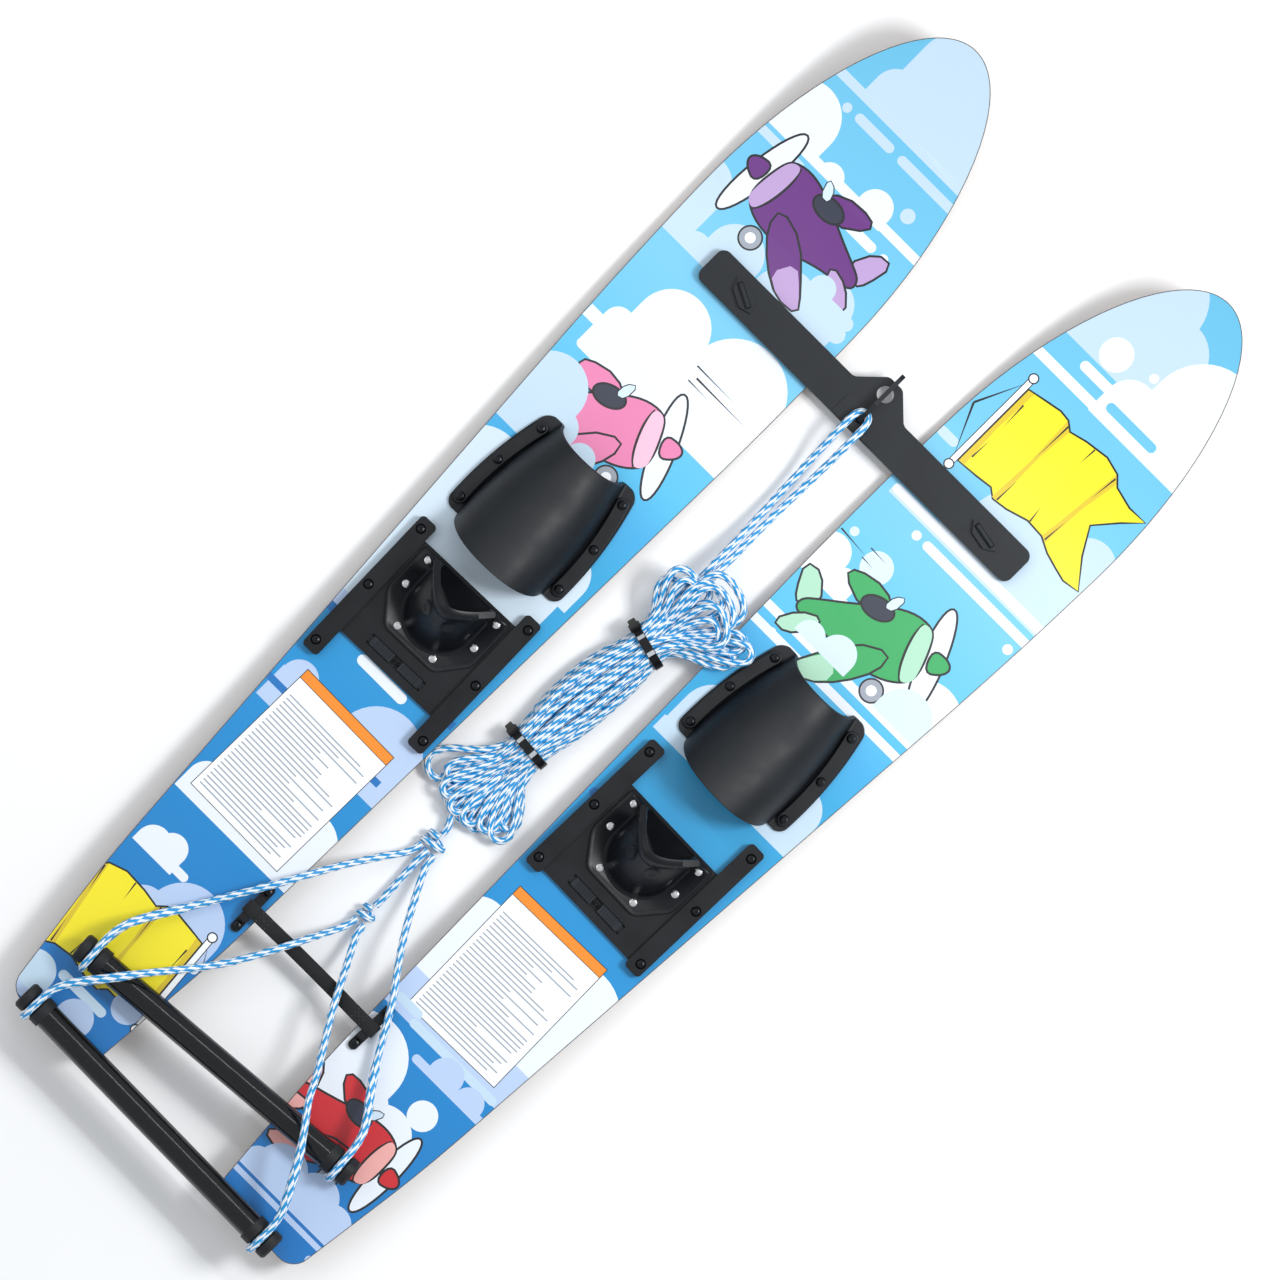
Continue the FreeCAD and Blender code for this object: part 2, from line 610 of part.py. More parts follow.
def make_strip(name, sign):
    """Curved clamping strip through its three screws, with round ends."""
    rear, middle, front = [vector(x, y) for x, y in strip_screws(sign)]
    centre = Part.Arc(rear, middle, front).toShape().Curve.Center
    radius = (rear - centre).Length
    half = size("strip_width") / 2

    def beside(point, distance):
        return centre + (point - centre).normalize() * (radius + distance)

    def end(point, other):
        tangent = (point - centre).cross(Z_AXIS).normalize()
        outward = tangent if tangent.dot(point - other) > 0 else tangent * -1
        return point + outward * half

    edges = [Part.Arc(beside(rear, -half), beside(middle, -half), beside(front, -half)).toShape(),
             Part.Arc(beside(front, -half), end(front, rear), beside(front, half)).toShape(),
             Part.Arc(beside(front, half), beside(middle, half), beside(rear, half)).toShape(),
             Part.Arc(beside(rear, half), end(rear, front), beside(rear, -half)).toShape()]
    base = size("ski_thickness") + size("rubber_thickness")
    strip = extrude(f"strip_{name}", wire(f"strip_{name}_outline", edges), Z_AXIS, "strip_thickness", base)
    doc.recompute()
    rounded = doc.addObject("Part::Fillet", f"strip_{name}_rounded")
    rounded.Base = strip
    top = at_height(base + size("strip_thickness"))
    numbered = enumerate(strip.Shape.Edges, start=1)
    edge_radius = size("strip_edge")
    rounded.Edges = [(number, edge_radius, edge_radius) for number, edge in numbered if top(edge)]
    doc.recompute()
    clearance = size("screw_radius") + size("hole_play")
    return drill(f"strip_{name}_holes", rounded, strip_screws(sign), clearance, base - 1.0,
                 base + size("strip_thickness") + 1.0)


# ---------------------------------------------------------------- heel piece
def make_rail(side, label, sign):
    """Heel rail with a groove for the plate, a rack in the groove and three sunk screw holes."""
    node = f"heel_rail_{label}_{side}"
    body = new_body(node)
    lip = "plate_lift + plate_thickness + plate_play"
    profile = [("rail_inner + groove_depth", "0"), ("rail_outer", "0"), ("rail_outer", "rail_height"),
               ("rail_inner", "rail_height"), ("rail_inner", lip), ("rail_inner + groove_depth", lip)]
    section = outline(body, "XZ_Plane", "rail_section", [(f"{sign} * ({x})", z) for x, z in profile])
    pad(body, section, "rail_length", reverse=True)
    top = size("rail_height") - 1e-4
    round_off(body, "rail_end_radius", lambda edge: upright(edge) and edge.BoundBox.ZMax > top)
    places = [(f"{x}", f"{y - rail_rear()}") for x, y in rail_screws(sign)]
    through = circles(body, "XY_Plane", "rail_holes", [
        (x, y, "screw_radius + hole_play") for x, y in places])
    pocket(body, through, "rail_height", reverse=True)
    sink = circles(body, "XY_Plane", "rail_sinks", [
        (x, y, "screw_head_radius + plate_play") for x, y in places])
    sink.AttachmentOffset = shift(z=size("rail_height"))
    pocket(body, sink, "counterbore_depth")
    first = size("latch_y") - rail_rear() + size("plate_lift") - 6 * size("rack_pitch")
    crest = f"{sign} * (rail_inner + groove_depth - plate_play)"
    root = f"{sign} * (rail_inner + groove_depth + rack_depth)"
    notch = outline(body, "XY_Plane", "rail_notch", rectangle(
        crest, f"{first} - rack_notch / 2", root, f"{first} + rack_notch / 2"))
    notch.AttachmentOffset = shift(z=size("plate_lift"))
    cut = pocket(body, notch, "plate_thickness", reverse=True)
    row_of(body, cut, "Y_Axis", "rack_pitch", size("rack_teeth"))
    keep(node, body, ski_frame(side) * shift(y=rail_rear(), z=size("ski_thickness")))


def make_plate(side):
    """Heel plate that slides in the rails, with the latch slot and the channels of its arms."""
    body = new_body(f"heel_plate_{side}")
    half = "(rail_inner + groove_depth - plate_play)"
    flat = outline(body, "XY_Plane", "plate_flat", rectangle(f"-{half}", "plate_rear", half, "plate_front"))
    pad(body, flat, "plate_thickness")
    round_off(body, "plate_corner", upright)
    slot = outline(body, "XY_Plane", "plate_slot", rectangle(
        "-slot_half_length", "latch_y - slot_width / 2", "slot_half_length", "latch_y + slot_width / 2"))
    pocket(body, slot, "plate_thickness", reverse=True)
    arm = "(latch_arm_width / 2 + plate_play)"
    channel = outline(body, "XY_Plane", "plate_channel", rectangle(
        f"-{half} - 1", f"latch_y - {arm}", f"{half} + 1", f"latch_y + {arm}"))
    pocket(body, channel, "latch_arm_thickness + 2 * plate_lift", reverse=True)
    holes = circles(body, "XY_Plane", "plate_holes", [
        (f"{x}", f"{y}", "rivet_radius + pilot_play") for x, y in rivet_places()])
    pocket(body, holes, "plate_thickness", reverse=True)
    keep(f"heel_plate_{side}", body, heel_frame(side) * shift(z=size("ski_thickness") + size("plate_lift")))


def cup_section(half, rear, front, base, drop):
    """A U of rubber wall open to the front, lower at its front ends by a drop."""
    wall = size("cup_wall")
    slope = drop / (front - rear)

    def place(x, y):
        return vector(x, y, base - (y - rear) * slope)

    def bend(radius, centre):
        quarter = radius * math.sqrt(0.5)
        points = [place(-radius, centre), place(-quarter, centre - quarter), place(0, centre - radius),
                  place(quarter, centre - quarter), place(radius, centre)]
        curve = Part.BSplineCurve()
        curve.interpolate(Points=points, InitialTangent=vector(0, -1, slope),
                          FinalTangent=vector(0, 1, -slope))
        return curve.toShape()

    centre = rear + half
    inner = half - wall
    edges = [Part.LineSegment(place(-half, front), place(-half, centre)).toShape(), bend(half, centre),
             Part.LineSegment(place(half, centre), place(half, front)).toShape(),
             Part.LineSegment(place(half, front), place(inner, front)).toShape(),
             Part.LineSegment(place(inner, front), place(inner, centre)).toShape(), bend(inner, centre),
             Part.LineSegment(place(-inner, centre), place(-inner, front)).toShape(),
             Part.LineSegment(place(-inner, front), place(-half, front)).toShape()]
    return Part.Wire(Part.__sortEdges__(edges))


def make_cup(side):
    """Rubber heel cup: a riveted flange and a U-shaped wall that leans forward."""
    body = new_body(f"cup_flange_{side}")
    flange = outline(body, "XY_Plane", "cup_flange", [
        ("flange_half", "plate_front - plate_play"), ("-flange_half", "plate_front - plate_play"),
        ("-flange_half", "plate_rear + flange_shoulder"), ("-flange_tail_half", "plate_rear + flange_tail"),
        ("flange_tail_half", "plate_rear + flange_tail"), ("flange_half", "plate_rear + flange_shoulder")])
    pad(body, flange, "flange_thickness")
    round_off(body, "2 * flange_thickness", upright)
    holes = circles(body, "XY_Plane", "flange_holes", [
        (f"{x}", f"{y}", "rivet_radius + pilot_play") for x, y in rivet_places()])
    pocket(body, holes, "flange_thickness", reverse=True)
    base = size("flange_thickness") / 2
    rim = size("cup_height")
    middle_rear = size("cup_base_rear") + 0.42 * (size("cup_rim_rear") - size("cup_base_rear"))
    middle_front = (size("cup_base_front") + size("cup_rim_front")) / 2
    sections = [
        cup_section(size("cup_base_half"), size("cup_base_rear"), size("cup_base_front"), base, 0.0),
        cup_section(size("cup_base_half") - 0.5, middle_rear, middle_front, base + (rim - base) / 2,
                    size("cup_rim_drop") / 2),
        cup_section(size("cup_rim_half"), size("cup_rim_rear"), size("cup_rim_front"), rim,
                    size("cup_rim_drop"))]
    wall = doc.addObject("Part::Feature", f"cup_wall_{side}")
    wall.Shape = Part.makeLoft(sections, True, False)
    cup = join("Part::Fuse", f"cup_{side}", body, wall)
    level = size("ski_thickness") + size("plate_lift") + size("plate_thickness")
    keep(f"heel_cup_{side}", cup, heel_frame(side) * shift(z=level))


def make_latch(side):
    """Two ribbed squeeze buttons with arms to the racks, and the spring between them."""
    frame = heel_frame(side) * shift(z=size("ski_thickness") + 2 * size("plate_lift"))
    bore_level = "(plate_thickness + button_rise - plate_lift) / 2 - spring_play"
    for label, sign in (("outer", SIDES[side]), ("inner", -SIDES[side])):
        node = f"latch_button_{label}_{side}"
        body = new_body(node)
        block = outline(body, "XY_Plane", "button_block", rectangle(
            f"{sign} * button_inner", "latch_y - button_width / 2",
            f"{sign} * button_outer", "latch_y + button_width / 2"))
        pad(body, block, "plate_thickness + button_rise - plate_lift")
        arm = outline(body, "XY_Plane", "button_arm", rectangle(
            f"{sign} * (button_outer - 1)", "latch_y - latch_arm_width / 2",
            f"{sign} * (rail_inner + groove_depth - latch_tip_gap)", "latch_y + latch_arm_width / 2"))
        pad(body, arm, "latch_arm_thickness")
        rib = outline(body, "XZ_Plane", "button_rib", rectangle(
            f"{sign} * (button_inner + rib_margin)", "plate_thickness + button_rise - plate_lift - rib_depth",
            f"{sign} * (button_inner + rib_margin + rib_gap)", "plate_thickness + button_rise + 1"))
        cut = pocket(body, rib, "2 * latch_y + 4 * button_width", symmetric=True)
        ribs = row_of(body, cut, "X_Axis", "rib_pitch", size("rib_count"))
        ribs.Reversed = sign < 0
        bore = circles(body, "YZ_Plane", "button_bore", [("latch_y", bore_level, "spring_bore")])
        bore.AttachmentOffset = shift(z=sign * (size("button_inner") - 1.0))
        pocket(body, bore, "spring_bore_depth + 1", reverse=sign > 0)
        keep(node, body, frame)
    reach = value("2 * (button_inner + spring_bore_depth - spring_play)")
    spring = make_spring(f"spring_{side}", reach)
    start = shift(-reach / 2, size("latch_y"), value(bore_level))
    keep(f"latch_spring_{side}", spring, frame * start * turn(Y_AXIS, 90))


def make_spring(name, length):
    """Compression spring of round wire about Z."""
    radius = size("spring_radius")
    wire_radius = size("spring_wire") / 2
    rise = length - 2 * wire_radius
    path = Part.makeHelix(rise / size("spring_turns"), rise, radius)
    path.translate(vector(0, 0, wire_radius))
    section = Part.Wire([Part.makeCircle(wire_radius, vector(radius, 0, wire_radius), Y_AXIS)])
    spring = doc.addObject("Part::Feature", name)
    spring.Shape = Part.Wire(path).makePipeShell([section], True, True)
    return spring


# ---------------------------------------------------------------- tip bar
def make_bar():
    """Moulded bar across both tips, hollowed below, with the tow eye in its nose."""
    body = new_body("tip_bar")
    half_length = "bar_length / 2"
    front = "bar_width / 2"
    plan = outline(body, "XY_Plane", "bar_plan", [
        (f"-{half_length}", f"-{front}"), (half_length, f"-{front}"), (half_length, front),
        ("nose_shoulder", front), ("nose_half_width", "nose_reach"), ("-nose_half_width", "nose_reach"),
        ("-nose_shoulder", front), (f"-{half_length}", front)])
    pad(body, plan, "bar_thickness")
    shoulder = size("nose_shoulder")
    round_off(body, "bar_corner", lambda edge: upright(edge) and abs(edge.BoundBox.Center.x) > shoulder - 1)
    reach = size("nose_reach")
    round_off(body, "nose_half_width * 0.9",
              lambda edge: upright(edge) and edge.BoundBox.Center.y > reach - 1)
    centre_pad = outline(body, "XY_Plane", "bar_pad", [
        ("-pad_half_width", f"1 - {front}"), ("pad_half_width", f"1 - {front}"), ("pad_half_width", "2"),
        ("nose_half_width", "tow_eye_reach - tow_eye_radius - 2"),
        ("-nose_half_width", "tow_eye_reach - tow_eye_radius - 2"), ("-pad_half_width", "2")])
    centre_pad.AttachmentOffset = shift(z=size("bar_thickness"))
    pad(body, centre_pad, "pad_rise")
    eye = circles(body, "XY_Plane", "bar_eye", [("0", "tow_eye_reach", "tow_eye_radius")])
    pocket(body, eye, "bar_thickness", reverse=True)
    posts = circles(body, "XY_Plane", "bar_posts", [
        (f"{sign} * knob_x", "0", "knob_shaft_radius + hole_play") for sign in (-1, 1)])
    pocket(body, posts, "bar_thickness", reverse=True)
    for sign in (-1, 1):
        cell = outline(body, "XY_Plane", f"bar_cell_{'left' if sign < 0 else 'right'}", rectangle(
            f"{sign} * pad_half_width", f"bar_skin - {front}", f"{sign} * (pad_half_width + bar_cell)",
            f"{front} - bar_skin"))
        cut = pocket(body, cell, "bar_thickness - bar_skin", reverse=True)
        cells = row_of(body, cut, "X_Axis", "bar_cell_pitch", 4)
        cells.Reversed = sign < 0
        doc.recompute()
    keep("tip_bar", body, LEAN * shift(y=size("bar_at"), z=size("ski_thickness")))


def make_tongue():
    """Upright tow hook on the bar's middle, reaching over the tow eye, with the rope's eye at its root."""
    body = new_body("tow_tongue")
    reach = "tongue_reach"
    side = outline(body, "YZ_Plane", "tongue_side", [
        ("-9", "0"), ("14", "0"), ("17", "0.42 * tongue_height"), (f"{reach} - 6", "0.42 * tongue_height"),
        (f"{reach} - 1", "0.5 * tongue_height"), (reach, "0.62 * tongue_height"),
        (f"{reach} - 4", "0.75 * tongue_height"), ("12", "tongue_height"), ("1", "tongue_height - 1"),
        ("-6", "0.6 * tongue_height")])
    pad(body, side, "tongue_thickness", symmetric=True)
    eye = circles(body, "YZ_Plane", "tongue_eye", [("tongue_eye_y", "tongue_eye_z", "tongue_eye_radius")])
    pocket(body, eye, "2 * tongue_thickness", symmetric=True)
    top = size("ski_thickness") + size("bar_thickness") + size("pad_rise")
    keep("tow_tongue", body, LEAN * shift(y=size("bar_at"), z=top))


def make_knob(side):
    """Quarter-turn lock knob: a six-sided head with a finger ridge, on a shaft into the ski's insert."""
    body = new_body(f"lock_knob_{side}")
    flat = outline(body, "XY_Plane", "knob_flat", [
        ("-knob_length / 2", "0"), ("-knob_length / 4", "-knob_width / 2"),
        ("knob_length / 4", "-knob_width / 2"), ("knob_length / 2", "0"),
        ("knob_length / 4", "knob_width / 2"), ("-knob_length / 4", "knob_width / 2")])
    pad(body, flat, "knob_height")
    ridge = outline(body, "XY_Plane", "knob_ridge", rectangle(
        "-knob_ridge_length / 2", "-knob_ridge_width / 4", "knob_ridge_length / 2", "knob_ridge_width / 4"))
    pad(body, ridge, "knob_height + knob_ridge_height")
    round_off(body, "knob_ridge_width / 6", at_height(size("knob_height") + size("knob_ridge_height")))
    shaft = circles(body, "XY_Plane", "knob_shaft", [("0", "0", "knob_shaft_radius")])
    pad(body, shaft, "bar_thickness + sheet_thickness + insert_depth - 1", reverse=True)
    level = size("ski_thickness") + size("bar_thickness") + size("knob_seat_gap")
    place = LEAN * shift(SIDES[side] * size("knob_x"), size("bar_at"), level)
    keep(f"lock_knob_{side}", body, place * turn(Z_AXIS, size(f"knob_angle_{side}")))


def make_inserts():
    """Threaded inserts in the skis that take the knobs' shafts."""
    pieces = []
    depth = size("insert_depth")
    for side in SIDES:
        x, y = knob_place(side)
        low = size("ski_thickness") - size("sheet_thickness") - depth
        shell = Part.makeCylinder(size("insert_radius") - size("pilot_play"), depth, vector(x, y, low))
        bore = Part.makeCylinder(size("knob_shaft_radius") + size("shaft_play"), depth, vector(x, y, low))
        piece = shell.cut(bore)
        piece.Placement = ski_frame(side) * piece.Placement
        pieces.append(piece)
    keep("knob_inserts", solids("knob_inserts", pieces))


# ---------------------------------------------------------------- tether
def make_loop(side):
    """Footman loop: two screwed feet and a raised bridge for the strap."""
    body = new_body(f"tether_loop_{side}")
    end = "(loop_screw_pitch / 2 + loop_foot / 2)"
    leg = "(loop_screw_pitch / 2 - loop_foot / 2)"
    high = "(loop_rise + loop_thickness)"
    side_view = [
        (f"-{end}", "0"), (f"-{leg} + loop_thickness", "0"), (f"-{leg} + loop_thickness", "loop_rise"),
        (f"{leg} - loop_thickness", "loop_rise"), (f"{leg} - loop_thickness", "0"), (end, "0"),
        (end, "loop_thickness"), (leg, "loop_thickness"), (leg, high), (f"-{leg}", high),
        (f"-{leg}", "loop_thickness"), (f"-{end}", "loop_thickness")]
    arch = outline(body, "YZ_Plane", "loop_side", side_view)
    pad(body, arch, "loop_width", symmetric=True)
    reach = value(end)
    round_off(body, "loop_width * 0.45",
              lambda edge: upright(edge) and abs(edge.BoundBox.Center.y) > reach - 1)
    holes = circles(body, "XY_Plane", "loop_holes", [
        ("0", f"{sign} * loop_screw_pitch / 2", "screw_radius + hole_play") for sign in (-1, 1)])
    pocket(body, holes, "loop_thickness", reverse=True)
    first, second = loop_screws(side)
    place = ski_frame(side) * shift(first[0], (first[1] + second[1]) / 2, size("ski_thickness"))
    keep(f"tether_loop_{side}", body, place)


def make_strap():
    """Webbing strap between the skis, wrapped round each loop's bridge and slack between them."""
    half = size("tether_loop_x")
    thick = size("strap_thickness")
    play = size("strap_play")
    low = size("loop_rise") - play
    high = size("loop_rise") + size("loop_thickness") + play
    eye = size("loop_width") / 2 + size("strap_slack")
    level = LEAN.multVec(vector(0, size("tether_at"), size("ski_thickness")))
    drop = size("strap_sag")

    def at(x, z):
        return vector(x, 0, z)

    right = [(12, low - drop), (30, low - 0.75 * drop), (half - 24, low + 1.5)]
    right_end = [(half - eye - thick, high + thick), (half + eye + thick, high + thick)]
    under_end = [(half + eye + thick, low - thick), (half - eye - thick, low - thick)]
    top_half = [at(x, z) for x, z in right + right_end]
    under_half = [at(x, z) for x, z in under_end] + [at(x, z - thick) for x, z in reversed(right)]
    half_side = top_half + under_half
    other_side = [vector(-point.x, 0, point.z) for point in reversed(half_side)]
    corners = half_side + other_side
    ribbon = wire("strap_side", Part.makePolygon(corners + corners[:1]).Edges)
    strap = extrude("strap_ribbon", ribbon, Y_AXIS, "strap_width", -size("strap_width") / 2)
    front = -size("strap_width") / 2 - 1
    windows = [Part.makeBox(2 * eye, 2 - 2 * front, high - low, vector(sign * half - eye, front, low))
               for sign in (-1, 1)]
    strap = join("Part::Cut", "strap_loops", strap, solids("strap_windows", windows))
    keep("tether_strap", strap, shift(0, level.y, level.z))


# ---------------------------------------------------------------- handles
def make_handle(name):
    """Handle: a stiff tube in a grip sleeve, with a grooved rubber cap on each end."""
    frame = handle_frame(name)
    tube = new_body(f"{name}_handle_tube")
    tube_half = "(handle_length / 2 - cap_wall - handle_play)"
    ring = outline(tube, "XZ_Plane", "tube_half", [
        (f"-{tube_half}", "tube_bore"), (tube_half, "tube_bore"), (tube_half, "tube_radius"),
        (f"-{tube_half}", "tube_radius")])
    revolve(tube, ring, "X_Axis")
    keep(f"{name}_handle_tube", tube, frame)
    grip = new_body(f"{name}_handle_grip")
    grip_half = "(handle_length / 2 - cap_length - handle_play)"
    sleeve = outline(grip, "XZ_Plane", "grip_half", [
        (f"-{grip_half}", "tube_radius + handle_play"), (grip_half, "tube_radius + handle_play"),
        (grip_half, "grip_radius"), (f"-{grip_half}", "grip_radius")])
    revolve(grip, sleeve, "X_Axis")
    keep(f"{name}_handle_grip", grip, frame)
    for side, sign in SIDES.items():
        cap = new_body(f"{name}_handle_cap_{side}")
        groove = "(handle_length / 2 - cap_length / 2)"
        shell = outline(cap, "XZ_Plane", "cap_half", [(f"{sign} * ({x})", z) for x, z in (
            ("handle_length / 2 - cap_length", "tube_radius + handle_play"),
            ("handle_length / 2 - cap_wall", "tube_radius + handle_play"),
            ("handle_length / 2 - cap_wall", "0"),
            ("handle_length / 2", "0"), ("handle_length / 2", "cap_radius - 2"),
            ("handle_length / 2 - 2", "cap_radius"), (f"{groove} + groove_half_width", "cap_radius"),
            (f"{groove} + groove_half_width - 1", "groove_floor"),
            (f"{groove} - groove_half_width + 1", "groove_floor"),
            (f"{groove} - groove_half_width", "cap_radius"),
            ("handle_length / 2 - cap_length", "cap_radius"))])
        revolve(cap, shell, "X_Axis")
        keep(f"{name}_handle_cap_{side}", cap, frame)


# ---------------------------------------------------------------- rope
def route_edges(points):
    """Straight runs joined by arcs, each as large as its two runs allow, and the arcs' radii."""
    edges = []
    radii = []
    start = points[0]
    for before, corner, after in zip(points, points[1:], points[2:]):
        back = before - corner
        forward = after - corner
        bend = math.pi - back.getAngle(forward)
        trim = 0.45 * min(back.Length, forward.Length)
        entry = corner + back.normalize() * trim
        leave = corner + forward.normalize() * trim
        radius = trim / math.tan(bend / 2)
        inward = (entry + leave) * 0.5 - corner
        depth = radius / math.cos(bend / 2) - radius
        crown = corner + inward.normalize() * depth
        edges.append(Part.LineSegment(start, entry).toShape())
        edges.append(Part.Arc(entry, crown, leave).toShape())
        radii.append(radius)
        start = leave
    edges.append(Part.LineSegment(start, points[-1]).toShape())
    return edges, radii


def make_rope(node, points):
    """A length of rope along a route given from the tail line, the middle plane and the floor."""
    points = [vector(x, y + BENCH.Base.y, z) for x, y, z in points]
    edges, radii = route_edges(points)
    path = Part.Wire(edges)
    radius = size("rope_diameter") / 2
    section = Part.Wire([Part.makeCircle(radius, points[0], points[1] - points[0])])
    rope = doc.addObject("Part::Feature", f"{node}_rope")
    rope.Shape = path.makePipeShell([section], True, True)
    expected = math.pi * radius ** 2 * path.Length
    share = rope.Shape.Volume / expected
    print(f"{node}: length {path.Length:.1f} volume share {share:.4f} radii", [round(r, 1) for r in radii])
    if abs(share - 1) > 0.01:
        raise RuntimeError(f"{node} has the wrong volume")
    keep(node, rope)


def loop_round_cap(name, side, approach):
    """The end of a bridle: along its approach, over the cap's groove and round under it."""
    frame = handle_frame(name)
    along = SIDES[side] * (size("handle_length") - size("cap_length")) / 2
    seat = size("groove_floor") + size("rope_seat_gap") + size("rope_diameter") / 2
    corner = seat / math.cos(math.pi / 8)
    points = list(approach)
    for step in range(6):
        angle = math.radians(90 + 22.5 + 45 * step)
        point = frame.multVec(vector(along, corner * math.cos(angle), corner * math.sin(angle)))
        points.append((point.x, point.y - BENCH.Base.y, point.z))
    return points


# Routes give (x, y, z): across from the middle plane, along from the line of the tails, up from the
# floor. The stations of the hank give (y, x, z, half width, half height), and the splice and the knot
# (x, front y, z, half width, half height).
TOW_EYE_ROUTE = [
    (6.0, 668.0, 30.0), (6.0, 681.0, 30.0), (6.2, 702.0, 24.5), (5.4, 733.0, 17.0), (6.2, 768.0, 14.5),
    (7.2, 803.0, 19.5), (7.4, 837.0, 33.0), (7.0, 863.1, 30.6), (-7.0, 863.1, 30.6), (-7.2, 836.0, 33.2),
    (-5.8, 802.0, 19.0), (-4.2, 767.0, 14.0), (-2.6, 731.0, 17.5), (-1.4, 701.0, 24.0),
    (-1.0, 681.0, 30.0), (-1.0, 668.0, 30.0)]
HANK_TAIL_ROUTE = [(-10.0, 378.0, 9.5), (-10.0, 372.0, 9.5), (-1.7, 360.0, 8.0), (-1.7, 353.0, 8.0)]
REAR_LEAD_ROUTE = [
    (-1.7, 335.0, 8.0), (-1.7, 324.0, 8.0), (-0.6, 303.0, 6.2), (0.8, 280.0, 8.0), (0.8, 269.0, 8.0)]
FRONT_LEFT_ROUTE = [
    (-9.2, 335.0, 8.0), (-9.2, 325.0, 8.0), (-25.0, 304.0, 17.0), (-45.0, 273.0, 32.0),
    (-61.0, 244.0, 42.5), (-75.5, 218.0, 46.0), (-92.0, 190.0, 42.0), (-113.0, 154.0, 42.0),
    (-131.0, 125.0, 53.0), (-142.0, 102.0, 66.0)]
FRONT_RIGHT_ROUTE = [
    (5.8, 335.0, 8.0), (5.8, 325.0, 8.0), (17.0, 304.0, 15.0), (34.0, 272.0, 30.0), (54.0, 243.0, 41.0),
    (70.0, 222.0, 46.5), (90.0, 186.0, 43.0), (110.0, 155.0, 46.0), (125.0, 137.0, 57.0),
    (133.2, 121.0, 66.0)]
REAR_LEFT_ROUTE = [
    (-3.6, 251.0, 8.0), (-3.6, 242.0, 8.0), (-13.0, 223.0, 20.0), (-23.0, 204.0, 36.0),
    (-34.0, 182.0, 41.0), (-53.0, 148.0, 44.0), (-71.0, 124.0, 51.0), (-87.0, 105.0, 64.0),
    (-99.0, 91.0, 76.0), (-116.0, 68.0, 78.5), (-134.0, 46.0, 75.5), (-143.8, 27.0, 72.0)]
REAR_RIGHT_ROUTE = [
    (5.2, 251.0, 8.0), (5.2, 242.0, 8.0), (16.0, 223.0, 20.0), (26.0, 204.0, 36.0), (38.0, 181.0, 41.0),
    (56.0, 152.0, 46.0), (68.0, 133.0, 56.0), (77.0, 115.0, 71.0), (86.0, 104.0, 78.0),
    (104.0, 79.0, 79.5), (121.0, 48.0, 75.5), (131.7, 25.0, 71.5)]
HANK_STATIONS = [
    (668.0, 15.0, 30.0, 24.0, 11.0), (650.0, 25.0, 37.0, 43.0, 14.0), (634.0, 25.0, 38.0, 45.0, 14.5),
    (614.0, 15.0, 31.0, 30.0, 15.0), (597.0, 8.5, 22.0, 20.0, 16.0), (583.0, 8.5, 22.0, 20.0, 16.0),
    (556.0, 4.5, 18.5, 26.0, 14.5), (520.0, 1.0, 17.0, 28.0, 14.0), (464.0, -2.1, 17.0, 20.0, 15.0),
    (450.0, -2.1, 17.0, 20.0, 15.0), (420.0, -7.0, 14.0, 36.0, 12.0), (400.0, -8.0, 12.5, 37.0, 10.5),
    (386.0, -9.0, 11.0, 30.0, 8.5), (378.0, -10.0, 10.5, 20.0, 7.5)]
TIE_STATIONS = (4, 8)
SPLICE = (-1.7, 353.0, 8.0, 12.5, 7.0)
KNOT = (0.8, 269.0, 8.0, 9.0, 7.0)


def ellipse(across, along, up, half_width, half_height):
    """A closed ellipse that stands across the length."""
    centre = vector(across, along + BENCH.Base.y, up)
    curve = Part.Ellipse(centre + X_AXIS * half_width, centre + Z_AXIS * half_height, centre)
    return Part.Wire([curve.toShape()])


def make_hank():
    """The coiled part of the rope as one solid, its two tie straps round it."""
    wires = [ellipse(x, y, z, half_x, half_z) for y, x, z, half_x, half_z in HANK_STATIONS]
    hank = doc.addObject("Part::Feature", "hank_body")
    hank.Shape = Part.makeLoft(wires, True, True)
    keep("rope_hank", hank)
    straps = []
    width = size("tie_width")
    for first in TIE_STATIONS:
        start, x, z, half_x, half_z = HANK_STATIONS[first]
        front = (start + HANK_STATIONS[first + 1][0] + width) / 2
        outer, inner = [Part.Face(ellipse(x, front, z, half_x + grow, half_z + grow))
                        for grow in (size("tie_play") + size("tie_thickness"), size("tie_play"))]
        straps.append(outer.cut(inner).extrude(Y_AXIS * -width))
    keep("hank_ties", solids("hank_ties", straps))


def make_joint_piece(node, across, front, up, half_width, half_height):
    """A spliced or knotted lump of rope with flat ends, where routes meet."""
    length = size("joint_piece_length")
    oval = ellipse(across, front, up, half_width, half_height)
    oval.translate(Y_AXIS * -length)
    keep(node, extrude(f"{node}_lump", wire(f"{node}_oval", oval.Edges), Y_AXIS, "joint_piece_length"))


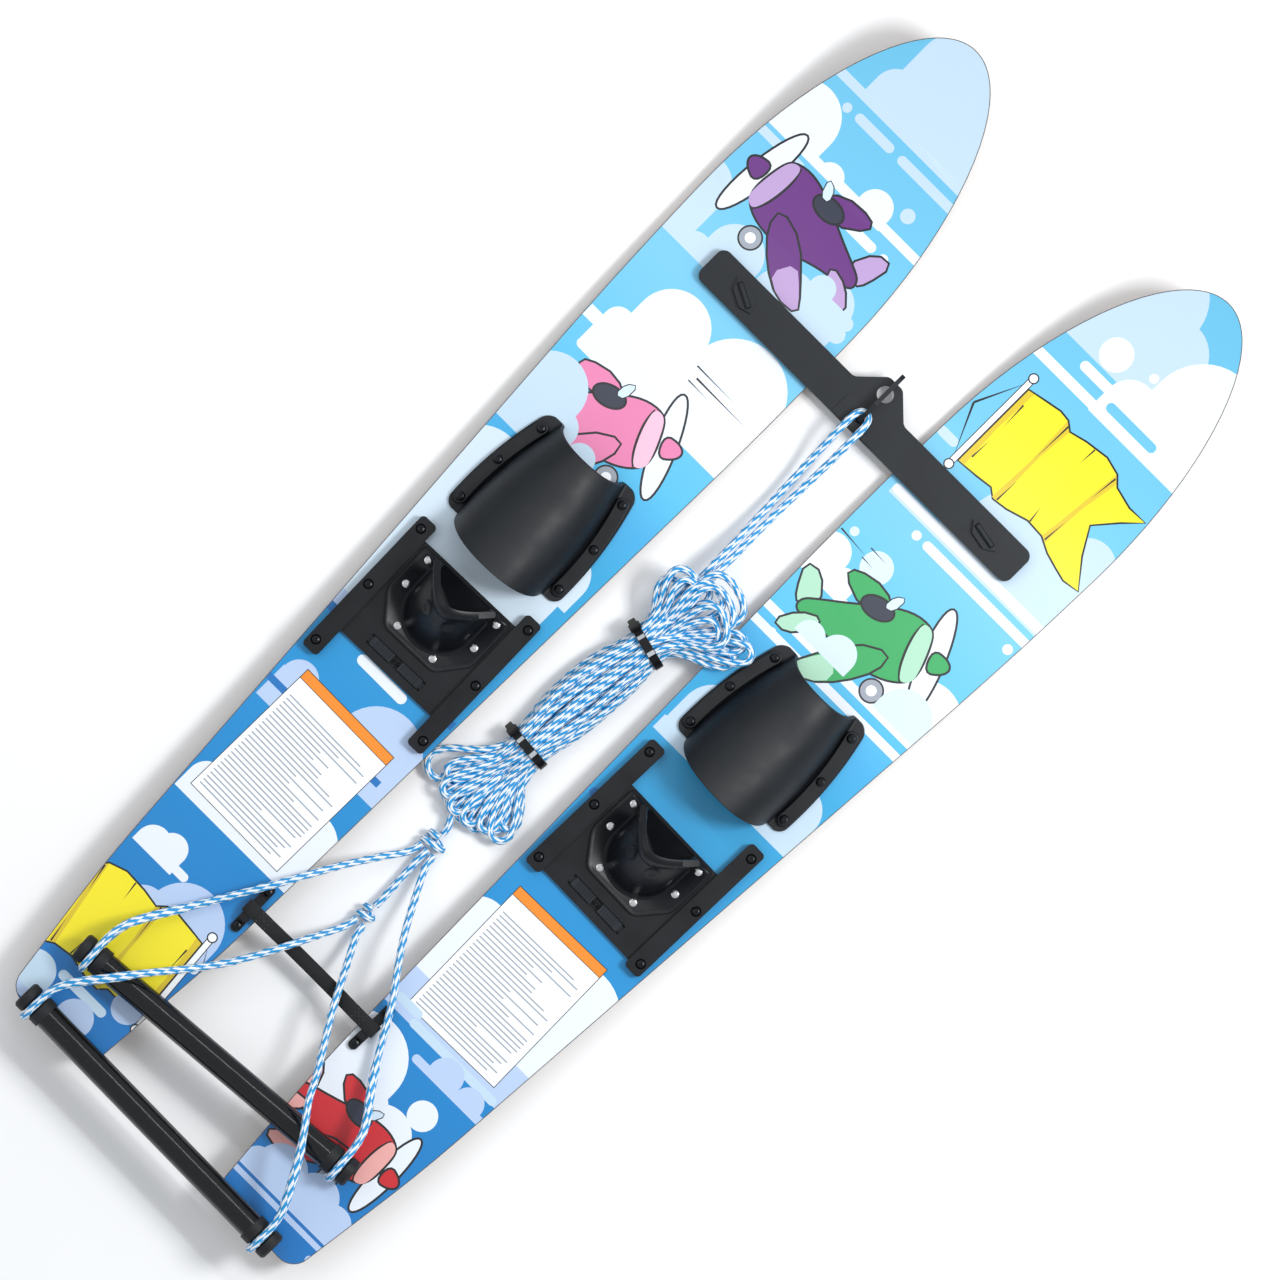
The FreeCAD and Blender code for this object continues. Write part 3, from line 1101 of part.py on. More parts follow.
# ---------------------------------------------------------------- assembly
def make_pair():
    """Every sub-part, ski by ski and then the shared pieces."""
    rivet = make_rivet()
    for side in SIDES:
        make_board(side)
        make_fin(side)
        make_toe(side)
        make_rail(side, "outer", SIDES[side])
        make_rail(side, "inner", -SIDES[side])
        make_plate(side)
        make_cup(side)
        make_latch(side)
        make_knob(side)
        make_loop(side)
        head = value("ski_thickness + plate_lift + plate_thickness + flange_thickness")
        places = [shift(x, y, head) for x, y in rivet_places()]
        copies(f"heel_rivets_{side}", rivet, places, heel_frame(side))
    screw_groups()
    make_bar()
    make_tongue()
    make_inserts()
    make_strap()
    for name in ("front", "rear"):
        make_handle(name)
    make_rope("tow_line", TOW_EYE_ROUTE)
    make_hank()
    make_rope("hank_tail", HANK_TAIL_ROUTE)
    make_joint_piece("rope_splice", *SPLICE)
    make_rope("rear_lead", REAR_LEAD_ROUTE)
    make_joint_piece("rope_knot", *KNOT)
    make_rope("front_bridle_left", loop_round_cap("front", "left", FRONT_LEFT_ROUTE))
    make_rope("front_bridle_right", loop_round_cap("front", "right", FRONT_RIGHT_ROUTE))
    make_rope("rear_bridle_left", loop_round_cap("rear", "left", REAR_LEFT_ROUTE))
    make_rope("rear_bridle_right", loop_round_cap("rear", "right", REAR_RIGHT_ROUTE))


make_pair()
doc.recompute()

for item in doc.Objects:
    if "Invalid" in item.State or "Error" in item.State:
        raise RuntimeError(f"{item.Label} failed: {item.State}")

os.makedirs("parts", exist_ok=True)
for node, piece in SUBPARTS.items():
    if piece.Shape.isNull() or not piece.Shape.isValid():
        raise RuntimeError(f"{node} has no valid shape")
    piece.Shape.exportStep(f"parts/{node}.step")
print(len(SUBPARTS), "sub-parts")
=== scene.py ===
"""Looks of a junior water ski pair: printed sheets, rubber bindings, moulded plastics, webbing and rope.

Plan places are in millimetres on the bench: x across from the middle plane, y from the line of the tails
and z from the floor. On a ski, x is across from its centre line and y from its tail. BENCH moves the
bench's y into the row frame, and everything becomes metres where a mesh is made.
"""
import math
import random

import bpy
from mathutils import Matrix, Vector
from mathutils.geometry import convex_hull_2d, delaunay_2d_cdt


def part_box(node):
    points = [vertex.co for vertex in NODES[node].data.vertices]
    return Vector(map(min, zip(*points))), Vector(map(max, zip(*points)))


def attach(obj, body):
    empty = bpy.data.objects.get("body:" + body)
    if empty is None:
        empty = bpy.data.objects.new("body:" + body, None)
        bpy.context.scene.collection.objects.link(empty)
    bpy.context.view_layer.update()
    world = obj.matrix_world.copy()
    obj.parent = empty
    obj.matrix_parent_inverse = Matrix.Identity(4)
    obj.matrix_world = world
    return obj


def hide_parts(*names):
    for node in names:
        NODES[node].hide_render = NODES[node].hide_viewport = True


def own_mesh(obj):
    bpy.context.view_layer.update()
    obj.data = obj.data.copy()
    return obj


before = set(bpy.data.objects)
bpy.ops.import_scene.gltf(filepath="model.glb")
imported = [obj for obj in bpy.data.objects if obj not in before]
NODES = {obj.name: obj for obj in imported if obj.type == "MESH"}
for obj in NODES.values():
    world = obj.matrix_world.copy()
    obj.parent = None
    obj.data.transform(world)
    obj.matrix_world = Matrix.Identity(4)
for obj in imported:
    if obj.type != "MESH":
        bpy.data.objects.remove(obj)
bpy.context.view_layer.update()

MM = 0.001
BENCH = -567.778
SIDES = {"left": -1, "right": 1}
LIFT = math.radians(1.63778)
ROCKER_START = 880.0
ROCKER_RADIUS = 520.0
DECK = 12.0
SHEET = 0.8
TAIL_SPACING = 122.5
TOE_OUT = 1.5
HEEL_OFFSET = {"left": 0.0, "right": -25.0}
ROPE = 6.4
STRAP_AT = 194.0


# ---------------------------------------------------------------- places
def lean_matrix():
    """The lean that both skis and the bar share."""
    pivot = Vector((0, ROCKER_START, ROCKER_RADIUS))
    forward = BENCH + ROCKER_RADIUS * math.sin(LIFT)
    return (Matrix.Translation((0, forward, 0)) @ Matrix.Translation(pivot)
            @ Matrix.Rotation(-LIFT, 4, "X") @ Matrix.Translation(-pivot))


LEAN = lean_matrix()


def ski_matrix(side, along=0.0):
    """From a ski's own millimetres to the row frame's, moved along the ski."""
    sign = SIDES[side]
    return (LEAN @ Matrix.Translation((sign * TAIL_SPACING, 0, 0))
            @ Matrix.Rotation(math.radians(-sign * TOE_OUT), 4, "Z") @ Matrix.Translation((0, along, 0)))


def on_bench(x, y, z):
    return Vector((x, y + BENCH, z))


# ---------------------------------------------------------------- materials
def linear(code, alpha=1.0):
    """An sRGB hex colour as linear numbers."""
    parts = [int(code[i:i + 2], 16) / 255 for i in (1, 3, 5)]
    return [p / 12.92 if p <= 0.04045 else ((p + 0.055) / 1.055) ** 2.4 for p in parts] + [alpha]


def add(tree, kind, inputs=None, **settings):
    """A node with its settings, its values and its links, by input name or number."""
    node = tree.nodes.new(kind)
    for name, value in settings.items():
        setattr(node, name, value)
    for key, value in (inputs or {}).items():
        if isinstance(value, bpy.types.NodeSocket):
            tree.links.new(value, node.inputs[key])
        else:
            node.inputs[key].default_value = value
    return node


def new_material(name, **values):
    """A material with one Principled shader; returns it, its tree and the shader."""
    material = bpy.data.materials.new(name)
    material.use_nodes = True
    tree = material.node_tree
    shader = tree.nodes["Principled BSDF"]
    for key, value in values.items():
        shader.inputs[key.replace("_", " ").title().replace("Ior", "IOR")].default_value = value
    return material, tree, shader


def moulded(name, base, light, grain_mm, rough, depth, spread=0.10):
    """A moulded black: fine spark-eroded grain in its relief, cloudy wear in its gloss."""
    material, tree, shader = new_material(name, specular_ior_level=0.3)
    place = add(tree, "ShaderNodeTexCoord").outputs["Object"]
    grain = add(tree, "ShaderNodeTexNoise", {"Vector": place, "Scale": 1 / (grain_mm * MM), "Detail": 3.0})
    cloud = add(tree, "ShaderNodeTexNoise", {"Vector": place, "Scale": 38.0, "Detail": 5.0})
    tone = add(tree, "ShaderNodeMix", {0: cloud.outputs["Fac"], 6: linear(base), 7: linear(light)},
               data_type="RGBA")
    gloss = add(tree, "ShaderNodeMapRange", {0: cloud.outputs["Fac"], 1: 0.3, 2: 0.7, 3: rough - spread / 2,
                                             4: rough + spread / 2})
    bump = add(tree, "ShaderNodeBump", {"Strength": 0.35, "Distance": depth * MM,
                                        "Height": grain.outputs["Fac"]})
    tree.links.new(tone.outputs[2], shader.inputs["Base Color"])
    tree.links.new(gloss.outputs[0], shader.inputs["Roughness"])
    tree.links.new(bump.outputs[0], shader.inputs["Normal"])
    return material


# Glass-filled nylon, injection moulded: near-black with a cool cast, satin, a 0.5 mm spark grain.
NYLON = moulded("glass_filled_nylon", "#08090d", "#11151a", 0.5, 0.40, 0.05)
# The tip bar is the same nylon from a smoother tool, so it shines a little more.
BAR_NYLON = moulded("smooth_nylon", "#0d1116", "#171d23", 0.8, 0.36, 0.03)
# Sheet neoprene over the toes: a skin rubber, darker and softer than the plastic, with a dusty bloom.
TOE_RUBBER = moulded("neoprene_sheet", "#0c0f13", "#171c22", 0.35, 0.50, 0.05, 0.14)
# Thermoplastic rubber of the heel cups: moulded, with a waxy half gloss.
HEEL_RUBBER = moulded("thermoplastic_rubber", "#07090d", "#0f1319", 0.6, 0.36, 0.04)
# Caps of nitrile rubber, scuffed grey where they land on docks.
CAP_RUBBER = moulded("nitrile_rubber", "#121417", "#232629", 0.7, 0.58, 0.08, 0.16)
# Acetal latch buttons: a shade lighter and slicker than the plate, so that a finger finds them.
ACETAL = moulded("acetal_buttons", "#181b20", "#2b3037", 0.6, 0.30, 0.03)
# Pale grey on the tops of the ties' raised bars: painted glints where the bars catch the light.
TIE_BAR_GLINT = moulded("tie_bar_painted_glint", "#8f969d", "#c5cacf", 0.5, 0.40, 0.03)
# Polyamide tie straps, smooth and slightly shiny.
TIE_PLASTIC = moulded("polyamide_strap", "#07080b", "#111317", 0.5, 0.34, 0.03)

# Bonded polyamide thread: a greyer black than the webbing, with a slight shine, drawn a little thick to show.
THREAD = moulded("bonded_thread", "#24272c", "#3a3e45", 0.4, 0.38, 0.03)


def make_black_oxide():
    """Black-oxide steel screws: dark metal with an oily sheen."""
    material, tree, shader = new_material("black_oxide_steel", base_color=linear("#26282b"), metallic=0.85)
    place = add(tree, "ShaderNodeTexCoord").outputs["Object"]
    noise = add(tree, "ShaderNodeTexNoise", {"Vector": place, "Scale": 900.0, "Detail": 2.0})
    gloss = add(tree, "ShaderNodeMapRange", {0: noise.outputs["Fac"], 3: 0.22, 4: 0.38})
    tree.links.new(gloss.outputs[0], shader.inputs["Roughness"])
    return material


def turned_metal(name, base):
    """A bright bare metal with fine turning marks in its gloss."""
    material, tree, shader = new_material(name, base_color=linear(base), metallic=1.0)
    place = add(tree, "ShaderNodeTexCoord").outputs["Object"]
    noise = add(tree, "ShaderNodeTexNoise", {"Vector": place, "Scale": 1500.0, "Detail": 2.0})
    gloss = add(tree, "ShaderNodeMapRange", {0: noise.outputs["Fac"], 3: 0.16, 4: 0.34})
    tree.links.new(gloss.outputs[0], shader.inputs["Roughness"])
    return material


def make_grip():
    """Glossy PVC sleeve on the handle: wet-looking black with long drawing streaks and scuffs."""
    material, tree, shader = new_material("glossy_pvc_sleeve", specular_ior_level=0.35, coat_weight=0.3,
                                          coat_roughness=0.08)
    place = add(tree, "ShaderNodeTexCoord").outputs["Object"]
    along = add(tree, "ShaderNodeMapping", {"Vector": place, "Scale": (14.0, 420.0, 420.0)})
    streak = add(tree, "ShaderNodeTexNoise", {"Vector": along.outputs[0], "Scale": 1.0, "Detail": 4.0})
    speck = add(tree, "ShaderNodeTexNoise", {"Vector": place, "Scale": 260.0, "Detail": 5.0})
    wear = add(tree, "ShaderNodeMapRange", {0: speck.outputs["Fac"], 1: 0.62, 2: 0.7, 3: 0.0, 4: 1.0})
    tone = add(tree, "ShaderNodeMix", {0: wear.outputs[0], 6: linear("#07080a"), 7: linear("#15171a")},
               data_type="RGBA")
    gloss = add(tree, "ShaderNodeMapRange", {0: streak.outputs["Fac"], 3: 0.10, 4: 0.24})
    bump = add(tree, "ShaderNodeBump", {"Strength": 0.5, "Distance": 0.3 * MM,
                                        "Height": speck.outputs["Fac"]})
    tree.links.new(tone.outputs[2], shader.inputs["Base Color"])
    tree.links.new(gloss.outputs[0], shader.inputs["Roughness"])
    tree.links.new(bump.outputs[0], shader.inputs["Normal"])
    return material


def make_print():
    """Screen-printed sheet under a clear film: ink from the attribute, faint mottle, glossy film."""
    material, tree, shader = new_material("printed_film", coat_weight=0.35, coat_roughness=0.12)
    ink = add(tree, "ShaderNodeAttribute", attribute_name="ink")
    place = add(tree, "ShaderNodeTexCoord").outputs["Object"]
    mottle = add(tree, "ShaderNodeTexNoise", {"Vector": place, "Scale": 700.0, "Detail": 3.0})
    level = add(tree, "ShaderNodeMapRange", {0: mottle.outputs["Fac"], 3: 0.97, 4: 1.03})
    shade = add(tree, "ShaderNodeVectorMath", {0: ink.outputs["Color"], "Scale": level.outputs[0]},
                operation="SCALE")
    haze = add(tree, "ShaderNodeTexNoise", {"Vector": place, "Scale": 22.0, "Detail": 4.0})
    gloss = add(tree, "ShaderNodeMapRange", {0: haze.outputs["Fac"], 3: 0.30, 4: 0.42})
    tree.links.new(shade.outputs[0], shader.inputs["Base Color"])
    tree.links.new(gloss.outputs[0], shader.inputs["Roughness"])
    return material


def make_laminate():
    """Laminated hardwood core under clear sealer: veneers 1.4 mm thick show as layers at the edge."""
    material, tree, shader = new_material("sealed_laminate", coat_weight=0.25, coat_roughness=0.2)
    place = add(tree, "ShaderNodeTexCoord").outputs["Object"]
    split = add(tree, "ShaderNodeSeparateXYZ", {0: place})
    layers = add(tree, "ShaderNodeMath", {0: split.outputs["Z"], 1: 2 * math.pi / (2.8 * MM)},
                 operation="MULTIPLY")
    wave = add(tree, "ShaderNodeMath", {0: layers.outputs[0]}, operation="SINE")
    long_grain = add(tree, "ShaderNodeMapping", {"Vector": place, "Scale": (260.0, 9.0, 260.0)})
    grain = add(tree, "ShaderNodeTexNoise", {"Vector": long_grain.outputs[0], "Scale": 1.0, "Detail": 6.0})
    both = add(tree, "ShaderNodeMath", {0: wave.outputs[0], 1: 0.22, 2: grain.outputs["Fac"]},
               operation="MULTIPLY_ADD")
    ramp = add(tree, "ShaderNodeMix", {0: both.outputs[0], 6: linear("#6b4a2c"), 7: linear("#b8915f")},
               data_type="RGBA")
    tree.links.new(ramp.outputs[2], shader.inputs["Base Color"])
    shader.inputs["Roughness"].default_value = 0.42
    return material


def make_braid():
    """Solid-braid polypropylene rope in two colours: shiny yarns, blue strands over white ones, and painted
    shade in the grooves at each diamond's border.

    The piece's map runs round the rope in u and along it in braid repeats in v, and each diamond
    between two crossings is one strand's float.
    """
    material, tree, shader = new_material("braided_polypropylene")
    flat = add(tree, "ShaderNodeUVMap", uv_map="braid")
    split = add(tree, "ShaderNodeSeparateXYZ", {0: flat.outputs[0]})
    around = add(tree, "ShaderNodeMath", {0: split.outputs["X"], 1: float(CARRIERS)}, operation="MULTIPLY")
    lean_in = add(tree, "ShaderNodeMath", {0: around.outputs[0], 1: split.outputs["Y"]}, operation="ADD")
    lean_out = add(tree, "ShaderNodeMath", {0: around.outputs[0], 1: split.outputs["Y"]},
                   operation="SUBTRACT")
    floors = [add(tree, "ShaderNodeMath", {0: one.outputs[0]}, operation="FLOOR")
              for one in (lean_in, lean_out)]
    total = add(tree, "ShaderNodeMath", {0: floors[1].outputs[0], 1: 2.0, 2: floors[0].outputs[0]},
                operation="MULTIPLY_ADD")
    turn = add(tree, "ShaderNodeMath", {0: total.outputs[0], 1: 4.0}, operation="FLOORED_MODULO")
    parity = add(tree, "ShaderNodeMath", {0: turn.outputs[0], 1: 1.5}, operation="GREATER_THAN")
    waves = []
    for one in (lean_in, lean_out):
        angle = add(tree, "ShaderNodeMath", {0: one.outputs[0], 1: math.pi}, operation="MULTIPLY")
        sine = add(tree, "ShaderNodeMath", {0: angle.outputs[0]}, operation="SINE")
        waves.append(add(tree, "ShaderNodeMath", {0: sine.outputs[0]}, operation="ABSOLUTE"))
    crown = add(tree, "ShaderNodeMath", {0: waves[0].outputs[0], 1: waves[1].outputs[0]},
                operation="MULTIPLY")
    yarn_way = add(tree, "ShaderNodeMapping", {"Vector": flat.outputs[0], "Scale": (90.0, 2.2, 1.0)})
    yarn = add(tree, "ShaderNodeTexNoise", {"Vector": yarn_way.outputs[0], "Scale": 1.0, "Detail": 3.0})
    blue = add(tree, "ShaderNodeMix", {0: yarn.outputs["Fac"], 6: linear("#0072bc"), 7: linear("#00aeee")},
               data_type="RGBA")
    white = add(tree, "ShaderNodeMix", {0: yarn.outputs["Fac"], 6: linear("#cfe2f2"), 7: linear("#ffffff")},
                data_type="RGBA")
    strand = add(tree, "ShaderNodeMix", {0: parity.outputs[0], 6: white.outputs[2], 7: blue.outputs[2]},
                 data_type="RGBA")
    # Painted shade: the strand colour darkens towards each diamond's border, along the grooves between
    # strands.
    groove_shade = add(tree, "ShaderNodeMapRange", {0: crown.outputs[0], 1: 0.0, 2: 0.22, 3: 0.62, 4: 1.0})
    shade = add(tree, "ShaderNodeVectorMath", {0: strand.outputs[2], "Scale": groove_shade.outputs[0]},
                operation="SCALE")
    relief = add(tree, "ShaderNodeMath", {0: yarn.outputs["Fac"], 1: 0.25, 2: crown.outputs[0]},
                 operation="MULTIPLY_ADD")
    bump = add(tree, "ShaderNodeBump", {"Strength": 0.5, "Distance": 0.4 * MM, "Height": relief.outputs[0]})
    tree.links.new(shade.outputs[0], shader.inputs["Base Color"])
    tree.links.new(bump.outputs[0], shader.inputs["Normal"])
    shader.inputs["Roughness"].default_value = 0.45
    return material


def make_webbing():
    """Woven polypropylene webbing: 1.1 mm ribs across the strap, drawn a little coarse to show, with painted
    light on the weave's crowns and painted shade in its dips.
    """
    material, tree, shader = new_material("woven_webbing", specular_ior_level=0.3)
    shader.inputs["Sheen Weight"].default_value = 0.2
    flat = add(tree, "ShaderNodeUVMap", uv_map="weave")
    split = add(tree, "ShaderNodeSeparateXYZ", {0: flat.outputs[0]})
    waves = []
    for axis, pitch in (("X", 1.1), ("Y", 0.9)):
        angle = add(tree, "ShaderNodeMath", {0: split.outputs[axis], 1: math.pi / pitch},
                    operation="MULTIPLY")
        waves.append(add(tree, "ShaderNodeMath", {0: angle.outputs[0]}, operation="SINE"))
    weave = add(tree, "ShaderNodeMath", {0: waves[0].outputs[0], 1: waves[1].outputs[0]},
                operation="MULTIPLY")
    level = add(tree, "ShaderNodeMapRange", {0: weave.outputs[0], 1: -1.0, 2: 1.0})
    # Painted light and shade: the black is paler on the weave's crowns and darker in its dips, following the
    # bump's relief.
    tone = add(tree, "ShaderNodeMix", {0: level.outputs[0], 6: linear("#060709"), 7: linear("#17191c")},
               data_type="RGBA")
    bump = add(tree, "ShaderNodeBump", {"Strength": 0.6, "Distance": 0.3 * MM, "Height": weave.outputs[0]})
    tree.links.new(tone.outputs[2], shader.inputs["Base Color"])
    tree.links.new(bump.outputs[0], shader.inputs["Normal"])
    shader.inputs["Roughness"].default_value = 0.62
    return material


CARRIERS = 8
REPEAT = 9.5
BRAID = make_braid()
BLACK_OXIDE = make_black_oxide()
# Stainless rivets and springs: white and bright, they wink against the black.
STEEL = turned_metal("stainless_steel", "#d5d7d8")
# Drawn aluminium tube inside the handles, a softer grey.
ALUMINIUM = turned_metal("drawn_aluminium", "#c3c6c9")
# Turned brass inserts under the knobs, yellow where they show.
BRASS = turned_metal("turned_brass", "#c9a25a")
GRIP = make_grip()
PRINT = make_print()
LAMINATE = make_laminate()
WEBBING = make_webbing()


# ---------------------------------------------------------------- meshes
def mesh_piece(name, points, faces, material, matrix=None, smooth=True):
    """A piece from points in millimetres, set in the row frame."""
    mesh = bpy.data.meshes.new(name)
    matrix = matrix or Matrix()
    mesh.from_pydata([(matrix @ Vector(p)) * MM for p in points], [], faces)
    mesh.materials.append(material)
    mesh.polygons.foreach_set("use_smooth", [smooth] * len(mesh.polygons))
    mesh.update()
    piece = bpy.data.objects.new(name, mesh)
    bpy.context.scene.collection.objects.link(piece)
    return piece


def stitch_tree(thread):
    """Rows of stitches: a short thread lies on each step of a row, turned the way the row runs."""
    tree = bpy.data.node_groups.new("stitch_rows", "GeometryNodeTree")
    tree.interface.new_socket("Geometry", in_out="INPUT", socket_type="NodeSocketGeometry")
    for name in ("Pitch", "Stitch Length", "Thread Radius"):
        tree.interface.new_socket(name, in_out="INPUT", socket_type="NodeSocketFloat")
    tree.interface.new_socket("Geometry", in_out="OUTPUT", socket_type="NodeSocketGeometry")
    given = add(tree, "NodeGroupInput").outputs
    rows = add(tree, "GeometryNodeMeshToCurve", {"Mesh": given["Geometry"]})
    steps = add(tree, "GeometryNodeResampleCurve", {"Curve": rows.outputs[0], "Length": given["Pitch"]},
                mode="LENGTH")
    bead = add(tree, "GeometryNodeMeshUVSphere", {"Segments": 8, "Rings": 6, "Radius": 1.0})
    round_bead = add(tree, "GeometryNodeSetShadeSmooth", {0: bead.outputs[0]})
    half = add(tree, "ShaderNodeMath", {0: given["Stitch Length"], 1: 0.5}, operation="MULTIPLY")
    shape = add(tree, "ShaderNodeCombineXYZ", {0: given["Thread Radius"], 1: given["Thread Radius"],
                                               2: half.outputs[0]})
    way = add(tree, "GeometryNodeInputTangent")
    turn = add(tree, "FunctionNodeAlignRotationToVector", {"Vector": way.outputs[0]}, axis="Z")
    laid = add(tree, "GeometryNodeInstanceOnPoints", {
        "Points": steps.outputs[0], "Instance": round_bead.outputs[0], "Rotation": turn.outputs[0],
        "Scale": shape.outputs[0]})
    real = add(tree, "GeometryNodeRealizeInstances", {0: laid.outputs[0]})
    inked = add(tree, "GeometryNodeSetMaterial", {"Geometry": real.outputs[0], "Material": thread})
    add(tree, "NodeGroupOutput", {0: inked.outputs[0]})
    return tree


def stitched(piece, tree, sizes):
    """The rows with their stitches made into mesh."""
    modifier = piece.modifiers.new("stitches", "NODES")
    modifier.node_group = tree
    for socket in tree.interface.items_tree:
        if socket.in_out == "INPUT" and socket.name in sizes:
            modifier[socket.identifier] = sizes[socket.name]
    evaluated = piece.evaluated_get(bpy.context.evaluated_depsgraph_get())
    mesh = bpy.data.meshes.new_from_object(evaluated)
    piece.modifiers.clear()
    rows = piece.data
    piece.data = mesh
    bpy.data.meshes.remove(rows)
    mesh.name = piece.name


def grown(points, by):
    """The outline moved outwards by a distance."""
    area = sum(a[0] * b[1] - b[0] * a[1] for a, b in zip(points, points[1:] + points[:1]))
    way = by if area > 0 else -by
    moved = []
    for index, here in enumerate(points):
        before, after = Vector(points[index - 1]), Vector(points[(index + 1) % len(points)])
        here = Vector(here)
        sides = [(here - before).normalized(), (after - here).normalized()]
        out = sum((Vector((side.y, -side.x)) for side in sides), Vector((0, 0)))
        out = out.normalized() if out.length > 1e-6 else Vector((0, 0))
        moved.append(tuple(here + out * way))
    return moved


def cornered(points, reach):
    """A closed outline with each corner rounded, starting a reach away from it."""
    out = []
    for index, corner in enumerate(points):
        corner = Vector(corner)
        before = (Vector(points[index - 1]) - corner).normalized() * reach
        after = (Vector(points[(index + 1) % len(points)]) - corner).normalized() * reach
        for step in range(6):
            share = step / 5
            out.append(tuple(corner + before * (1 - share) ** 2 + after * share ** 2))
    return out


def ringed(outline, levels, name, material, matrix):
    """A plate from an outline: a ring for each (inset, height), closed by its first and last rings."""
    verts, faces = [], []
    count = len(outline)
    for inset, level in levels:
        verts += [(x, y, level) for x, y in grown(outline, -inset)]
    for ring in range(len(levels) - 1):
        for k in range(count):
            a, b = ring * count + k, ring * count + (k + 1) % count
            faces.append((a, b, b + count, a + count))
    faces.append(tuple(reversed(range(count))))
    faces.append(tuple(range((len(levels) - 1) * count, len(levels) * count)))
    piece = mesh_piece(name, verts, faces, material, matrix)
    piece.data.set_sharp_from_angle(angle=math.radians(35))
    return piece


# ---------------------------------------------------------------- camera and light
def set_camera():
    """Straight down on the pair, which lies across the frame's diagonal."""
    data = bpy.data.cameras.new("camera")
    distance = 8.0
    seen_width = 1.096
    middle = 590.0
    data.sensor_width = 36.0
    data.lens = data.sensor_width * distance / seen_width
    camera = bpy.data.objects.new("camera", data)
    camera.location = (0, (middle + BENCH) * MM, distance)
    camera.rotation_euler = (0, 0, math.radians(45))
    bpy.context.scene.collection.objects.link(camera)
    bpy.context.scene.camera = camera


def set_light():
    """A pale floor, an even white room and softboxes: a key from the tips' right, a fill and a strip."""
    half = 6.0
    floor = mesh_piece("floor", [(sx * half / MM, sy * half / MM, 0) for sx, sy in
                                 ((-1, -1), (1, -1), (1, 1), (-1, 1))], [(0, 1, 2, 3)],
                       new_material("pale_floor", base_color=linear("#f6f7f8"), roughness=0.9)[0])
    world = bpy.data.worlds.new("room")
    bpy.context.scene.world = world
    world.use_nodes = True
    world.node_tree.nodes["Background"].inputs[0].default_value = linear("#f4f7fb")
    world.node_tree.nodes["Background"].inputs[1].default_value = 0.62
    bpy.context.scene.view_settings.view_transform = "Standard"
    softboxes = (("key", (1.0, 1.0, 2.0), (0.6, 0.6), 34.0), ("fill", (-1.4, -0.6, 2.2), (1.6, 1.6), 7.0),
                 ("strip", (0.0, 0.7, 1.9), (2.6, 0.10), 9.0))
    for name, place, (width, depth), power in softboxes:
        data = bpy.data.lights.new(name, "AREA")
        data.shape = "RECTANGLE"
        data.size, data.size_y = width, depth
        data.energy = power
        light = bpy.data.objects.new(name, data)
        light.location = place
        light.rotation_euler = (-Vector(place)).to_track_quat("-Z", "Y").to_euler()
        bpy.context.scene.collection.objects.link(light)


set_camera()
set_light()


# ---------------------------------------------------------------- rope
def read_spline(points):
    """The smooth line of a NURBS spline whose control points are on the bench."""
    curve = bpy.data.curves.new("route", "CURVE")
    curve.dimensions = "3D"
    curve.resolution_u = 10
    spline = curve.splines.new("NURBS")
    spline.points.add(len(points) - 1)
    for control, point in zip(spline.points, points):
        control.co = (*(on_bench(*point) * MM), 1.0)
    spline.order_u = 3
    spline.use_endpoint_u = True
    carrier = bpy.data.objects.new("route", curve)
    mesh = bpy.data.meshes.new_from_object(carrier)
    line = [vertex.co.copy() for vertex in mesh.vertices]
    bpy.data.objects.remove(carrier)
    bpy.data.curves.remove(curve)
    bpy.data.meshes.remove(mesh)
    return line


def evenly(line, step):
    """The line again, with points a step apart."""
    out = [line[0]]
    carried = 0.0
    for start, end in zip(line, line[1:]):
        length = (end - start).length
        at = step - carried
        while at <= length:
            out.append(start.lerp(end, at / length))
            at += step
        carried = length - (at - step)
    if (out[-1] - line[-1]).length > step * 0.3:
        out.append(line[-1])
    return out


def rope_piece(name, points, swells=()):
    """A braided rope along control points; a swell is a spliced stretch (from, to, times) in metres."""
    line = evenly(read_spline(points), REPEAT / 4 * MM)
    sides = 2 * CARRIERS
    normal = (line[1] - line[0]).orthogonal().normalized()
    verts, faces = [], []
    for index, centre in enumerate(line):
        tangent = (line[min(index + 1, len(line) - 1)] - line[max(index - 1, 0)]).normalized()
        normal = (normal - tangent * normal.dot(tangent)).normalized()
        across = tangent.cross(normal)
        run = index * REPEAT / 4 * MM
        grown = 1.0
        for start, end, times in swells:
            ease = min(max(min(run - start, end - run) / 0.012, 0.0), 1.0)
            grown = max(grown, 1 + (times - 1) * ease)
        for side in range(sides):
            lean_in, lean_out = side / 2 + index / 4, side / 2 - index / 4
            crown = abs(math.sin(math.pi * lean_in) * math.sin(math.pi * lean_out))
            radius = (ROPE / 2 - 0.25 + 0.45 * crown) * MM * grown
            angle = 2 * math.pi * side / sides
            verts.append(centre + (normal * math.cos(angle) + across * math.sin(angle)) * radius)
    rings = len(line)
    for ring in range(rings - 1):
        for side in range(sides):
            other = (side + 1) % sides
            faces.append((ring * sides + side, ring * sides + other,
                          (ring + 1) * sides + other, (ring + 1) * sides + side))
    faces.append(tuple(reversed(range(sides))))
    faces.append(tuple((rings - 1) * sides + side for side in range(sides)))
    piece = mesh_piece(name, [v / MM for v in verts], faces, BRAID)
    layer = piece.data.uv_layers.new(name="braid")
    for polygon in piece.data.polygons[:-2]:
        ring, side = divmod(polygon.index, sides)
        for loop, (up, on) in zip(polygon.loop_indices, ((0, 0), (0, 1), (1, 1), (1, 0))):
            layer.data[loop].uv = ((side + on) / sides, (ring + up) / 4)
    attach(piece, "skis")
    return piece, line


def length_of(line):
    return sum((end - start).length for start, end in zip(line, line[1:]))


